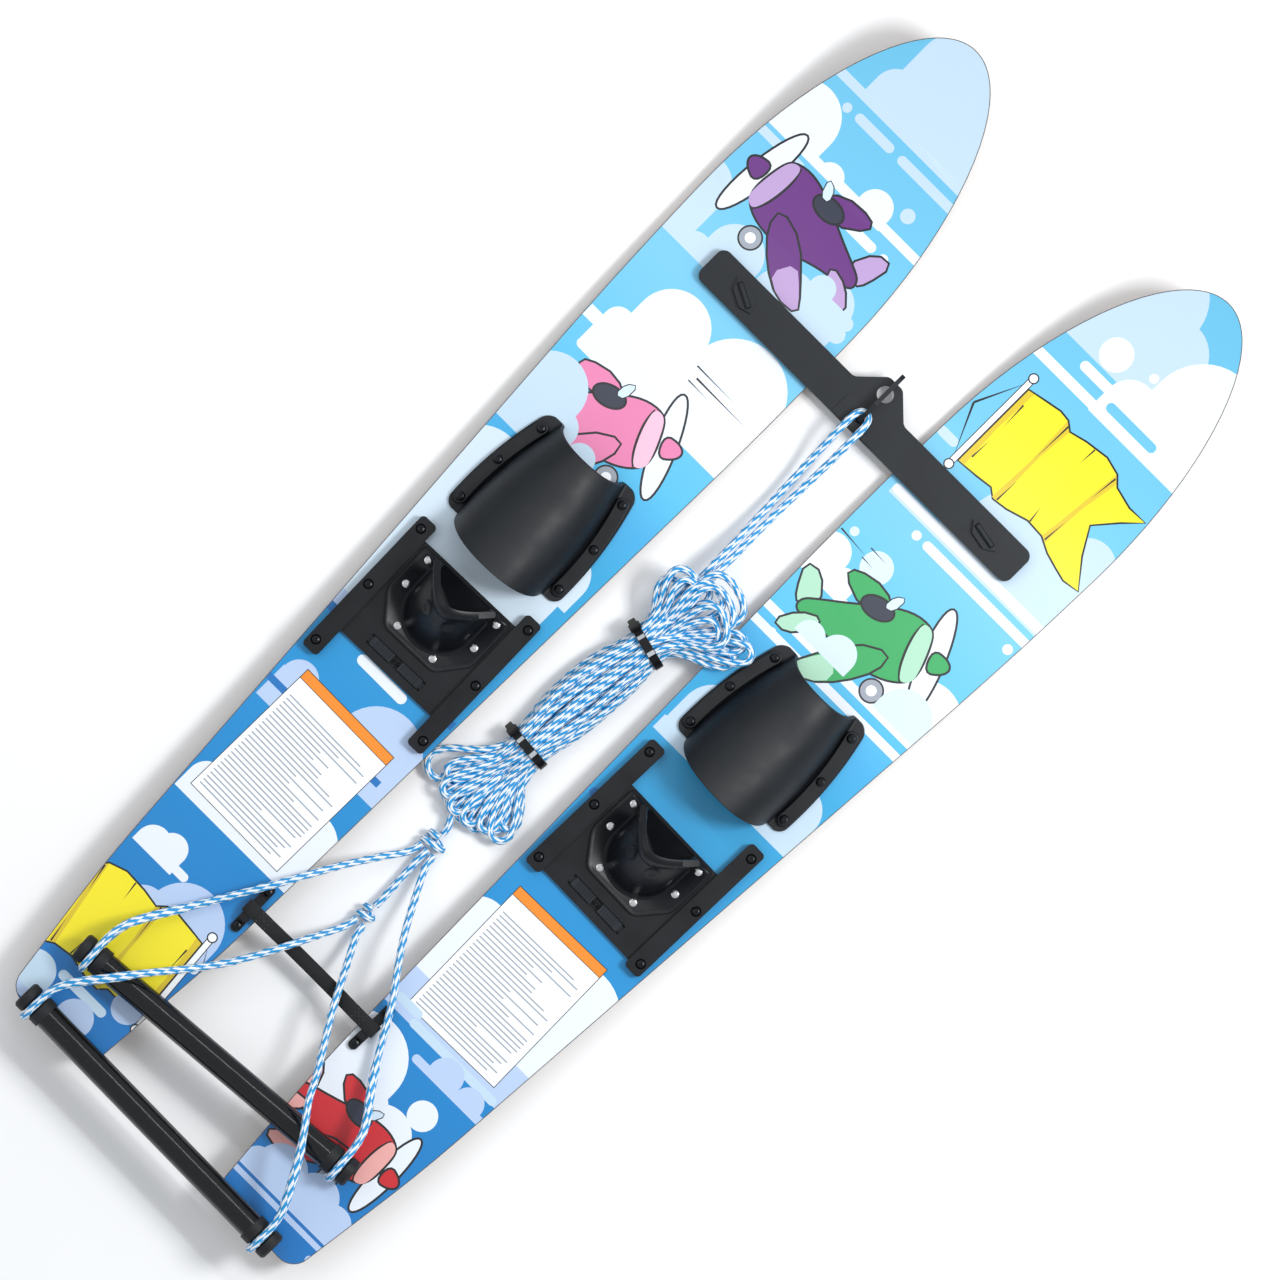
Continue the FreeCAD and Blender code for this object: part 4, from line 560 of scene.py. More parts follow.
TOW_EYE_ROUTE = [
    (6.0, 668.0, 30.0), (6.0, 681.0, 30.0), (6.2, 702.0, 24.5), (5.4, 733.0, 17.0), (6.2, 768.0, 14.5),
    (7.2, 803.0, 19.5), (7.4, 837.0, 33.0), (7.0, 863.1, 30.6), (-7.0, 863.1, 30.6), (-7.2, 836.0, 33.2),
    (-5.8, 802.0, 19.0), (-4.2, 767.0, 14.0), (-2.6, 731.0, 17.5), (-1.4, 701.0, 24.0),
    (-1.0, 681.0, 30.0), (-1.0, 668.0, 30.0)]
HANK_TAIL_ROUTE = [(-10.0, 378.0, 9.5), (-10.0, 372.0, 9.5), (-1.7, 360.0, 8.0), (-1.7, 353.0, 8.0)]
REAR_LEAD_ROUTE = [
    (-1.7, 335.0, 8.0), (-1.7, 324.0, 8.0), (-0.6, 303.0, 6.2), (0.8, 280.0, 8.0), (0.8, 269.0, 8.0)]
FRONT_LEFT_ROUTE = [
    (-9.2, 335.0, 8.0), (-9.2, 325.0, 8.0), (-25.0, 304.0, 17.0), (-45.0, 273.0, 32.0),
    (-61.0, 244.0, 42.5), (-75.5, 218.0, 46.0), (-92.0, 190.0, 42.0), (-113.0, 154.0, 42.0),
    (-131.0, 125.0, 53.0), (-142.0, 102.0, 66.0)]
FRONT_RIGHT_ROUTE = [
    (5.8, 335.0, 8.0), (5.8, 325.0, 8.0), (17.0, 304.0, 15.0), (34.0, 272.0, 30.0), (54.0, 243.0, 41.0),
    (70.0, 222.0, 46.5), (90.0, 186.0, 43.0), (110.0, 155.0, 46.0), (125.0, 137.0, 57.0),
    (133.2, 121.0, 66.0)]
REAR_LEFT_ROUTE = [
    (-3.6, 251.0, 8.0), (-3.6, 242.0, 8.0), (-13.0, 223.0, 20.0), (-23.0, 204.0, 36.0),
    (-34.0, 182.0, 41.0), (-53.0, 148.0, 44.0), (-71.0, 124.0, 51.0), (-87.0, 105.0, 64.0),
    (-99.0, 91.0, 76.0), (-116.0, 68.0, 78.5), (-134.0, 46.0, 75.5), (-143.8, 27.0, 72.0)]
REAR_RIGHT_ROUTE = [
    (5.2, 251.0, 8.0), (5.2, 242.0, 8.0), (16.0, 223.0, 20.0), (26.0, 204.0, 36.0), (38.0, 181.0, 41.0),
    (56.0, 152.0, 46.0), (68.0, 133.0, 56.0), (77.0, 115.0, 71.0), (86.0, 104.0, 78.0),
    (104.0, 79.0, 79.5), (121.0, 48.0, 75.5), (131.7, 25.0, 71.5)]

# Middle, height and half sizes of the bundle between its lobes: (y, x, z, half width, half height).
BUNDLE = [(450.0, -2.1, 17.0, 20.0, 15.0), (464.0, -2.1, 17.0, 20.0, 15.0), (492.0, -0.8, 17.0, 26.0, 14.5),
          (520.0, 1.0, 17.0, 28.0, 14.0), (556.0, 4.5, 18.5, 26.0, 14.5), (583.0, 8.5, 22.0, 20.0, 16.0),
          (597.0, 8.5, 22.0, 20.0, 16.0)]
# Turns at the two ends of the hank: (degrees off its line, reach, width, height), from left to right.
UPPER_TURNS = [
    (-27, 56, 20, 33), (-19, 67, 24, 40), (-11, 61, 20, 45), (-3, 66, 24, 36), (7, 70, 30, 46),
    (14, 84, 46, 41), (18, 73, 40, 49), (24, 62, 30, 38), (31, 64, 36, 51), (37, 57, 24, 44),
    (46, 78, 18, 37), (53, 85, 18, 43), (59, 70, 16, 33)]
LOWER_TURNS = [
    (-38, 82, 26, 10), (-31, 66, 16, 15), (-26, 71, 14, 9), (-20, 75, 16, 16), (-13, 76, 14, 10),
    (-7, 77, 16, 16), (-1, 78, 14, 9), (5, 76, 16, 15), (11, 77, 14, 9), (18, 73, 16, 15),
    (24, 70, 14, 9), (29, 77, 20, 14), (34, 66, 16, 10)]


def bundle_slots(count):
    """Even places in a unit disc, in order from left to right, a low middle one last."""
    golden = math.pi * (3 - math.sqrt(5))
    slots = sorted((math.sqrt((k + 0.5) / count) * math.cos(k * golden),
                    math.sqrt((k + 0.5) / count) * math.sin(k * golden)) for k in range(count))
    low = min(slots, key=lambda place: abs(place[0]) + abs(place[1] + 0.6))
    slots.remove(low)
    return slots + [low]


def pass_through(slot, upward, wander):
    """One strand's control points through both ties."""
    points = []
    for index, (y, x, z, half_x, half_z) in enumerate(BUNDLE):
        tied = index in (0, 1, 5, 6)
        stray = 0.0 if tied else 1.6
        points.append((x + slot[0] * (half_x - ROPE / 2) + wander.uniform(-stray, stray),
                       y + (0 if tied else wander.uniform(-5, 5)),
                       z + slot[1] * (half_z - ROPE / 2) + wander.uniform(-stray, stray) * 0.6))
    return points if upward else points[::-1]


def end_turn(centre, way, angle, reach, width, height, mirrored):
    """One turn of rope past a tie: out along one side, across its top and back."""
    turned = math.radians(angle)
    out = Vector((math.sin(turned), way * math.cos(turned), 0))
    side = Vector((way * -math.cos(turned), math.sin(turned), 0)) * (-1 if mirrored else 1)
    points = []
    for share, half in ((0.40, 0.26), (0.76, 0.54), (1.0, 0.40), (1.0, -0.40), (0.76, -0.54), (0.40, -0.26)):
        level = centre.z + (height - centre.z) * min(1.0, share * 1.15)
        place = Vector((centre.x, centre.y, level + (1.2 if half > 0 else -1.2))) + out * reach * share
        points.append(tuple(place + side * width * half))
    return points


def hank_route():
    """The whole rope from the splice: the hank's turns, then up to the tow hook and back down."""
    wander = random.Random(11)
    count = len(UPPER_TURNS) + len(LOWER_TURNS) + 1
    slots = bundle_slots(count)
    top = Vector((8.5, 597.0, 22.0))
    foot = Vector((-2.1, 450.0, 17.0))
    points = HANK_TAIL_ROUTE[::-1] + [(-10.5, 392.0, 9.0), (-12.0, 418.0, 12.0)]
    for index, slot in enumerate(slots):
        upward = index % 2 == 0
        points += pass_through(slot, upward, wander)
        if index == count - 1:
            break
        turn = UPPER_TURNS[index // 2] if upward else LOWER_TURNS[index // 2]
        points += end_turn(top if upward else foot, 1 if upward else -1, *turn, mirrored=not upward)
    points += [(4.0, 622.0, 20.0), (0.0, 648.0, 27.0)]
    points += TOW_EYE_ROUTE[::-1]
    points += [(6.0, 654.0, 29.0), (6.5, 640.0, 27.0), (7.0, 622.0, 24.0)]
    return points


HANDLES = {"front": (-2.1, 82.5, 4.67), "rear": (-6.1, 5.7, -0.83)}
HANDLE_LENGTH = 303.0
CAP_LENGTH = 27.0
GROOVE_FLOOR = 11.0
SEAT_GAP = 0.4


def handle_matrix(name):
    """The middle of a handle on the bench, turned to its lie."""
    x, y, angle = HANDLES[name]
    deck = (LEAN @ Vector((0, y, DECK))).z
    above = GROOVE_FLOOR + ROPE + 2 * SEAT_GAP
    return Matrix.Translation((x, y, deck + above)) @ Matrix.Rotation(math.radians(angle), 4, "Z")


def bridle_route(name, side, approach):
    """A bridle leg over its cap's groove, round under it and back into itself at its splice."""
    place = handle_matrix(name)
    along = SIDES[side] * (HANDLE_LENGTH - CAP_LENGTH) / 2
    corner = (GROOVE_FLOOR + SEAT_GAP + ROPE / 2) / math.cos(math.pi / 8)
    points = list(approach)
    for step in range(6):
        angle = math.radians(112.5 + 45 * step)
        points.append(tuple(place @ Vector((along, corner * math.cos(angle), corner * math.sin(angle)))))
    near, far = Vector(approach[-1]), Vector(approach[-2])
    points.append(tuple(near.lerp(far, 0.35) - Vector((0, 0, 9.0))))
    points.append(tuple(near.lerp(far, 0.95) - Vector((0, 0, 4.5))))
    return points


def lashing(name, across, front, up, half_width, half_height, body_length=18.0):
    """A turn and a quarter of the rope round its own strands, where they are spliced or knotted."""
    steps = 20
    points = []
    for step in range(steps + 1):
        angle = math.pi * (2.5 * step / steps + 0.5)
        points.append((across + (half_width - ROPE / 2) * math.cos(angle),
                       front - 4.0 - (body_length - 8.0) * step / steps,
                       up + (half_height - ROPE / 2) * math.sin(angle)))
    return rope_piece(name, points)[0]


def make_rope():
    splice = lashing("splice_wrap", -1.7, 353.0, 8.0, 12.5, 7.0)
    knot = lashing("knot_wrap", 0.8, 269.0, 8.0, 9.0, 7.0)
    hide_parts("rope_splice")
    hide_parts("rope_knot")
    ties = [make_tie("upper_tie", Vector((8.5, 590.0, 22.0)), 20.0, 16.0, -14.0),
            make_tie("lower_tie", Vector((-2.1, 457.0, 17.0)), 20.0, 15.0, -5.0)]
    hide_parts("hank_ties")
    rope, line = rope_piece("tow_rope", hank_route())
    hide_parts("tow_line", "rope_hank", "hank_tail")
    lead, line = rope_piece("rear_lead_rope", REAR_LEAD_ROUTE)
    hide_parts("rear_lead")
    for name, side, route in (("front", "left", FRONT_LEFT_ROUTE), ("front", "right", FRONT_RIGHT_ROUTE),
                              ("rear", "left", REAR_LEFT_ROUTE), ("rear", "right", REAR_RIGHT_ROUTE)):
        points = bridle_route(name, side, route)
        reach = length_of(read_spline(points[:-8]))
        leg, line = rope_piece(f"{name}_leg_{side}", points, [(reach - 0.075, reach - 0.005, 1.22)])
        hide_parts(f"{name}_bridle_{side}")


def make_tie(name, centre, half_x, half_z, turned):
    """A strap round the bundle: a flat oval band with two raised bars whose tops carry painted glints, its
    lock head and its free end.
    """
    width, thick, steps = 8.0, 1.2, 48
    place = Matrix.Translation(on_bench(*centre)) @ Matrix.Rotation(math.radians(turned), 4, "Z")
    points, faces = [], []
    profile = [(-0.5, 0.3), (-0.42, 1.0), (0.42, 1.0), (0.5, 0.3), (0.42, 0.0), (-0.42, 0.0)]
    bars = (9, 15)
    for step in range(steps):
        angle = 2 * math.pi * (step + (0.35 if step - 1 in bars else 0.65 if step + 1 in bars else 0)) / steps
        for along, level in profile:
            grow = 0.3 + (thick + (0.5 if step in bars else 0.0)) * level
            points.append(((half_x + grow) * math.cos(angle), along * width,
                           (half_z + grow) * math.sin(angle)))
    ring = len(profile)
    for step in range(steps):
        for k in range(ring):
            a, b = step * ring + k, step * ring + (k + 1) % ring
            c, d = (step + 1) % steps * ring + (k + 1) % ring, (step + 1) % steps * ring + k
            faces.append((a, d, c, b))
    piece = mesh_piece(name, points, faces, TIE_PLASTIC, place)
    piece.data.set_sharp_from_angle(angle=math.radians(40))
    # The bars' top faces take the second slot: pale grey painted glints.
    piece.data.materials.append(TIE_BAR_GLINT)
    for polygon in piece.data.polygons:
        step, side = divmod(polygon.index, ring)
        polygon.material_index = 1 if side == 1 and step in bars else 0
    angle = math.radians(158)
    head_place = (place @ Matrix.Translation(((half_x + 1.6) * math.cos(angle), 0,
                                              (half_z + 1.6) * math.sin(angle)))
                  @ Matrix.Rotation(math.radians(-62), 4, "Y"))
    head = ringed(cornered([(-4.2, -5.2), (4.2, -5.2), (4.2, 5.2), (-4.2, 5.2)], 1.5),
                  [(0.4, -2.2), (0.0, -1.8), (0.0, 1.8), (0.6, 2.4)], f"{name}_head", TIE_PLASTIC, head_place)
    end_place = head_place @ Matrix.Translation((-7.5, 0, 0.6))
    end = ringed(cornered([(-6.5, -3.4), (6.5, -3.8), (6.5, 3.8), (-6.5, 3.4)], 1.2),
                 [(0.2, -0.6), (0.0, -0.4), (0.0, 0.4), (0.2, 0.6)], f"{name}_end", TIE_PLASTIC, end_place)
    parts = [piece, head, end]
    for part in parts:
        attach(part, "skis")
    return parts


make_rope()

# ---------------------------------------------------------------- printed artwork
SKY = [(0, "#026fba"), (215, "#0480c4"), (380, "#0f8ccc"), (600, "#27a1d4"), (650, "#3ea8de"),
       (690, "#50b9e3"), (830, "#6fc1e7"), (1150, "#65b9dd")]
INKS = {"black": "#15181d", "white": "#e4ebf3", "pale": "#bed6e8", "mist": "#cfe1ef", "lilac": "#b4caea",
        "edge": "#4d4640", "deep": "#0f6fb8", "purple": "#64297c", "plum": "#4a1c60", "mauve": "#b79acb",
        "pink": "#e17eac",
        "rose": "#f0bcd3", "green": "#2fa35a", "mint": "#a9d8bd", "red": "#c8202a", "coral": "#eba9a4",
        "yellow": "#f2e21c", "gold": "#d9bf28", "grey": "#9aa1ad", "orange": "#f08a1e", "card": "#f4f7fa",
        "rule": "#9ba4ae", "slate": "#2b3142"}


def oval(x, y, half_x, half_y, turned=0.0, sides=32):
    cos, sin = math.cos(math.radians(turned)), math.sin(math.radians(turned))
    ring = [(half_x * math.cos(2 * math.pi * k / sides), half_y * math.sin(2 * math.pi * k / sides))
            for k in range(sides)]
    return [(x + u * cos - v * sin, y + u * sin + v * cos) for u, v in ring]


def dot(x, y, radius):
    return oval(x, y, radius, radius)


def pill(left, right, y, radius=4.4):
    """A bar with round ends."""
    ends = [(right - radius, -90), (left + radius, 90)]
    return [(x + radius * math.cos(math.radians(start + 18 * k)), y
             + radius * math.sin(math.radians(start + 18 * k)))
            for x, start in ends for k in range(11)]


def box(left, low, right, high):
    return [(left, low), (right, low), (right, high), (left, high)]


def puff(x, y, radius, base):
    """A cloud's lobe standing on its flat base; the lobe starts where its circle meets the base."""
    if y - radius >= base:
        half, start = radius, 0.0
        ends = [(x - half, base), (x + half, base)]
    else:
        start = math.asin(max(-1.0, min(1.0, (base - y) / radius))) if y < base else 0.0
        ends = [] if y < base else [(x - radius, base), (x + radius, base)]
    arc = [(x + radius * math.cos(start + (math.pi - 2 * start) * k / 20),
            y + radius * math.sin(start + (math.pi - 2 * start) * k / 20)) for k in range(21)]
    return ends + arc


def cloud(ink, base, *lobes):
    return [(ink, puff(x, y, radius, base)) for x, y, radius in lobes]


def rounded(points, cuts=2):
    """A closed outline with its corners cut smooth."""
    for _ in range(cuts):
        cut = []
        for (ax, ay), (bx, by) in zip(points, points[1:] + points[:1]):
            cut += [(0.75 * ax + 0.25 * bx, 0.75 * ay + 0.25 * by),
                    (0.25 * ax + 0.75 * bx, 0.25 * ay + 0.75 * by)]
        points = cut
    return points


def drawn(ink, points, line=2.0):
    """A shape with a black line round it."""
    return [("black", grown(points, line)), (ink, points)]


def stroke(start, end, width=1.2):
    side = (Vector(end) - Vector(start)).orthogonal().normalized() * width / 2
    start, end = Vector(start), Vector(end)
    return [tuple(start + side), tuple(start - side), tuple(end)]


def toy_plane(x, y, turned, mirrored, body, dark, light, size=1.0):
    """A plump toy plane seen from its side: propeller disc, spinner, body, seat, wings, tail and wheels."""
    flip = -1 if mirrored else 1
    cos, sin = math.cos(math.radians(turned)), math.sin(math.radians(turned))

    def at(points):
        moved = [(u * flip * size, v * size) for u, v in points]
        return [(x + u * cos - v * sin, y + u * sin + v * cos) for u, v in moved]

    hull = rounded([(40, 14), (36, 24), (18, 29), (-6, 24), (-30, 16), (-52, 10), (-64, 6), (-66, -2),
                    (-54, -6), (-34, -12), (-14, -22), (12, -27), (32, -23), (40, -13)])
    cowl = rounded([(40, 14), (37, 23), (29, 25.5), (26, 14), (25, 0), (26, -14), (29, -23.5), (37, -21),
                    (40, -13)])
    fin = rounded([(-50, 8), (-58, 30), (-72, 33), (-70, 10), (-66, 2)], 1)
    far_wing = rounded([(6, 20), (-8, 38), (-34, 43), (-40, 36), (-20, 18)], 1)
    wing = rounded([(14, -6), (-14, -10), (-44, -34), (-56, -46), (-36, -50), (-12, -40), (10, -22)], 1)
    stabiliser = rounded([(-44, -2), (-62, -4), (-78, -17), (-66, -22), (-50, -14)], 1)
    shapes = []
    shapes += drawn("white", at(oval(46, 0, 9, 43)))
    shapes += drawn("grey", at(oval(12, -38, 8.5, 8.5)), 1.6) + [("card", at(oval(12, -38, 4.2, 4.2)))]
    shapes += drawn(dark, at(far_wing)) + drawn(light, at(fin)) + drawn(body, at(hull))
    shapes += [("black", at(rounded([(30, 25), (26, 14), (25, 0), (26, -14), (30, -24), (28, -24), (24, -14),
                                     (23, 0), (24, 14), (28, 25)])))]
    shapes += [(light, at(cowl))]
    shapes += drawn(light, at(stabiliser)) + drawn(dark, at(wing))
    shapes += [(light, at(rounded([(-26, -22), (-44, -34), (-56, -46), (-36, -50), (-18, -42)], 1)))]
    shapes += drawn("slate", at(oval(-8, 22, 13, 7.5, -8)))
    shapes += drawn("mist", at(rounded([(4, 24), (10, 37), (1, 35), (-4, 25)], 1)), 1.0)
    shapes += drawn(dark, at(rounded([(44, 9), (56, 6), (61, 0), (56, -6), (44, -9)])))
    return shapes


def pennant(corner_x, corner_y, mirrored, turned=0.0):
    """A plain swallow-tailed flag on its pole, with folds."""
    flip = -1 if mirrored else 1
    cos, sin = math.cos(math.radians(turned)), math.sin(math.radians(turned))

    def at(points):
        return [(corner_x + u * flip * cos - v * sin, corner_y + u * flip * sin + v * cos) for u, v in points]

    cloth = [(4, -6), (20, -3), (36, 0), (46, -1), (54, -7), (70, -3), (92, 0), (108, -4), (116, -12),
             (136, -17),
             (154, -16), (139, -30), (122, -50), (136, -74), (155, -97), (140, -99), (128, -96), (114, -92),
             (100, -85), (82, -84), (62, -90), (48, -92), (40, -86), (24, -88), (4, -90)]
    shapes = [("black", at(stroke((-2, -46), (0, 0), 2.4))), ("black", at(stroke((-22, -46), (0, 0), 2.2))),
              ("black", at(stroke((-22, -46), (0, -94), 2.2))), ("black", at(pill(-2.6, 2.6, 2, 2.4)))]
    shapes += drawn("yellow", at(cloth), 1.7)
    for fold in ([(46, -1), (54, -7), (51, -40), (52, -91), (46, -92), (48, -48)],
                 [(108, -4), (114, -10), (108, -46), (106, -88), (100, -85), (104, -48)],
                 [(4, -6), (10, -5), (8, -48), (10, -89), (4, -90)]):
        shapes.append(("gold", at(fold)))
    for start, end in (((50, -4), (49, -44)), ((51, -91), (52, -66)), ((110, -7), (107, -34)),
                       ((104, -86), (106, -62)),
                       ((80, -2), (79, -20)), ((84, -84), (82, -68)), ((10, -18), (11, -44)),
                       ((10, -80), (11, -58))):
        shapes.append(("black", at(stroke(start, end, 1.6))))
    shapes += drawn("card", at(box(-2.4, -96, 2.4, 1)), 1.2)
    shapes += drawn("card", at(dot(0, 4, 3.6)), 1.2) + drawn("card", at(dot(0, -98, 3.6)), 1.2)
    return shapes


def care_card(left, low, right, high, turned):
    """A plain card: an orange head and ruled lines."""
    cos, sin = math.cos(math.radians(turned)), math.sin(math.radians(turned))
    middle = Vector(((left + right) / 2, (low + high) / 2))

    def at(points):
        return [(middle.x + (u - middle.x) * cos - (v - middle.y) * sin,
                 middle.y + (u - middle.x) * sin + (v - middle.y) * cos) for u, v in points]

    shapes = [("black", at(box(left, low, right, high))),
              ("card", at(box(left + 0.7, low + 0.7, right - 0.7, high - 0.7))),
              ("orange", at(box(left + 0.7, high - 9.5, right - 0.7, high - 0.7))),
              ("black", at(box(left + 0.7, high - 10.1, right - 0.7, high - 9.5)))]
    shorts = random.Random(5)
    level = high - 27
    while level > low + 6:
        end = right - 7 - shorts.choice((0, 0, 0, 3, 8, 26, 40))
        shapes.append(("rule", at(box(left + 5, level, end, level + 1.3))))
        level -= 4.1
    return shapes


def art_left():
    """What is printed on the left ski, the lowest layer of ink first."""
    art = cloud("pale", 1056, (-152, 1117, 33), (-175, 1071, 21), (-115, 1090, 62))
    art += [("pale", box(-230, 1048, -70, 1056.5)), ("pale", dot(-196, 1035, 4.3)),
            ("pale", pill(-186, -142, 1036, 4.3)), ("pale", pill(-135, -60, 1036, 4.3)),
            ("pale", dot(-94, 1006.6, 6.6))]
    art += cloud("white", 980, (-217, 1003, 33), (-165, 983, 13), (-119, 992, 16))
    art += [("white", box(-240, 980, -112, 989)), ("white", box(-112, 981, -40, 989.5)),
            ("pale", pill(-243, -186, 972, 4.0)), ("white", pill(-170, -93, 966, 4.6)),
            ("white", dot(-83, 966, 4.6))]
    art += cloud("pale", 853, (-238, 905, 24), (-176, 880, 26), (-204, 858, 16), (-90, 905, 24),
                 (-118, 880, 30))
    art += [("pale", box(-240, 853, -50, 868)), ("pale", pill(-130, -58, 893, 8.0))]
    art += toy_plane(-158, 940, -7, True, "purple", "purple", "mauve", 1.12)
    art += [("pale", pill(-112, -60, 905, 6.5)), ("pale", dot(-102, 912, 12))]
    art += cloud("white", 732, (-93, 796, 46), (-169, 797, 34), (-205, 768, 14))
    art += [("white", box(-232, 752, -120, 764)), ("white", box(-139, 732, -40, 752)),
            ("white", pill(-219, -129, 734, 4.6))]
    art += [("black", stroke((-131, 790), (-84, 789.5), 1.5)),
            ("black", stroke((-124, 782), (-62, 781.5), 1.9)),
            ("black", stroke((-128, 776), (-103, 775.5), 1.3))]
    art += toy_plane(-148, 700, 24, False, "pink", "pink", "rose", 1.1)
    art += cloud("pale", 640, (-206, 688, 32), (-178, 668, 18), (-146, 662, 14))
    art += cloud("mist", 560, (-200, 596, 38), (-130, 588, 34), (-88, 582, 26))
    art += [("mist", box(-220, 440, -70, 560)), ("lilac", box(-220, 428, -70, 442)),
            ("deep", box(-220, 420, -60, 428)),
            ("white", pill(-160, -104, 410, 5.0))]
    art += cloud("lilac", 326, (-91, 362, 40), (-182, 360, 17))
    art += [("lilac", box(-200, 326, -60, 342)), ("lilac", box(-200, 347, -60, 360)),
            ("deep", box(-210, 341, -70, 347.5))]
    art += cloud("white", 222, (-81, 262, 31), (-176, 242, 18))
    art += [("white", box(-186, 222, -50, 236))]
    art += care_card(-184, 231, -78, 371, -0.8)
    art += cloud("white", 164, (-171, 173, 16), (-156, 181, 14)) + [("white", pill(-163, -128, 171, 4.0))]
    art += cloud("lilac", 118, (-104, 142, 36), (-138, 128, 20)) + [("white", pill(-120, -66, 122, 4.4))]
    art += pennant(-78, 148, True, 5.0)
    art += [("pale", pill(-150, -96, 40, 4.4)), ("lilac", dot(-87, 58, 14)), ("lilac", dot(-113, 20, 17)),
            ("pale", dot(-166, 25, 19)), ("lilac", pill(-186, -150, 6, 4.4))]
    return art


def art_right():
    """What is printed on the right ski, the lowest layer of ink first."""
    art = cloud("pale", 1032, (108, 1104, 42), (148, 1078, 33), (84, 1060, 44))
    art += cloud("white", 999, (207, 1058, 49), (155, 1024, 24), (226, 1030, 40))
    art += [("white", dot(115.5, 1048, 15)), ("white", dot(152.5, 1056, 4.3)),
            ("white", pill(99, 190, 1023, 4.6)), ("sky", pill(140, 197, 1013.5, 4.4)),
            ("white", box(54, 1000, 260, 1009))]
    art += cloud("pale", 830, (178, 872, 57), (226, 905, 24), (236, 868, 40), (132, 846, 22))
    art += [("pale", pill(52, 74, 899, 4.4)), ("pale", box(60, 830, 240, 840)),
            ("white", pill(60, 250, 837, 4.4)),
            ("white", dot(104, 820, 4.3)), ("white", pill(113, 240, 820, 4.3)), ("white", dot(228, 806, 4.6)),
            ("mist", dot(99.7, 776, 14.8)), ("mist", dot(64, 785, 4.2))]
    art += pennant(80, 981, False, 0.0)
    art += cloud("white", 731, (62, 758, 18), (88, 748, 12))
    art += [("white", pill(50, 114, 751, 4.4)), ("white", box(50, 731, 130, 738.5))]
    art += cloud("white", 690, (218, 712, 34), (186, 700, 22))
    art += [("white", box(40, 685, 250, 693)), ("white", box(40, 669, 250, 677)),
            ("white", dot(74.5, 673.6, 4.3)),
            ("white", dot(85, 712, 7))]
    art += [("black", stroke((54, 779), (88, 776.5), 1.7)), ("black", stroke((84, 785), (104, 784), 1.3)),
            ("black", stroke((84, 774), (98, 773.5), 1.2))]
    art += toy_plane(142, 733, 22, False, "green", "green", "mint", 1.12)
    art += cloud("mist", 690, (128, 700, 17), (100, 694, 14), (206, 700, 26))
    art += cloud("pale", 560, (92, 585, 30), (150, 600, 40), (196, 580, 24))
    art += [("pale", box(60, 545, 220, 560)), ("deep", pill(60, 120, 470, 4.4)),
            ("pale", box(70, 436, 200, 446))]
    art += cloud("white", 258, (182, 321, 44), (76, 317, 28), (140, 300, 30))
    art += [("white", box(50, 258, 205, 300)), ("lilac", box(50, 219, 205, 258))]
    art += care_card(77, 230, 181, 370, 1.0)
    art += [("pale", pill(67, 96, 230, 4.0)), ("pale", pill(91, 193, 222, 4.0))]
    art += cloud("lilac", 200, (146, 209, 16), (176, 206, 14)) + [("lilac", pill(114, 200, 202, 4.0))]
    art += [("white", dot(156, 171, 13.5))]
    art += cloud("white", 120, (83, 168, 42), (142, 134, 27), (112, 140, 24))
    art += toy_plane(124, 113, 0, False, "red", "red", "coral", 0.98)
    art += cloud("lilac", 40, (103, 52, 24), (140, 56, 22), (166, 50, 18), (84, 44, 14))
    art += [("lilac", box(66, 26, 190, 46)), ("deep", box(60, 31, 200, 34)), ("deep", box(60, -5, 200, 8)),
            ("lilac", dot(174.5, 16, 4))]
    return art


def sky_ink(y):
    for (low, below), (high, above) in zip(SKY, SKY[1:]):
        if y <= high:
            share = min(max((y - low) / (high - low), 0.0), 1.0)
            return [a + (b - a) * share for a, b in zip(linear(below), linear(above))]
    return linear(SKY[-1][1])


def deck_height(y, level):
    """Height on the flat of the ski, and on the rocker beyond it."""
    if y <= ROCKER_START:
        return level
    reach = ROCKER_RADIUS - level
    return ROCKER_RADIUS - math.sqrt(reach * reach - (y - ROCKER_START) ** 2)


def inside(place, outline):
    """Whether a place is in an outline, by the sides that a line from it crosses."""
    crossed = False
    ax, ay = outline[-1]
    for bx, by in outline:
        if (ay > place.y) != (by > place.y) and place.x < (bx - ax) * (place.y - ay) / (by - ay) + ax:
            crossed = not crossed
        ax, ay = bx, by
    return crossed


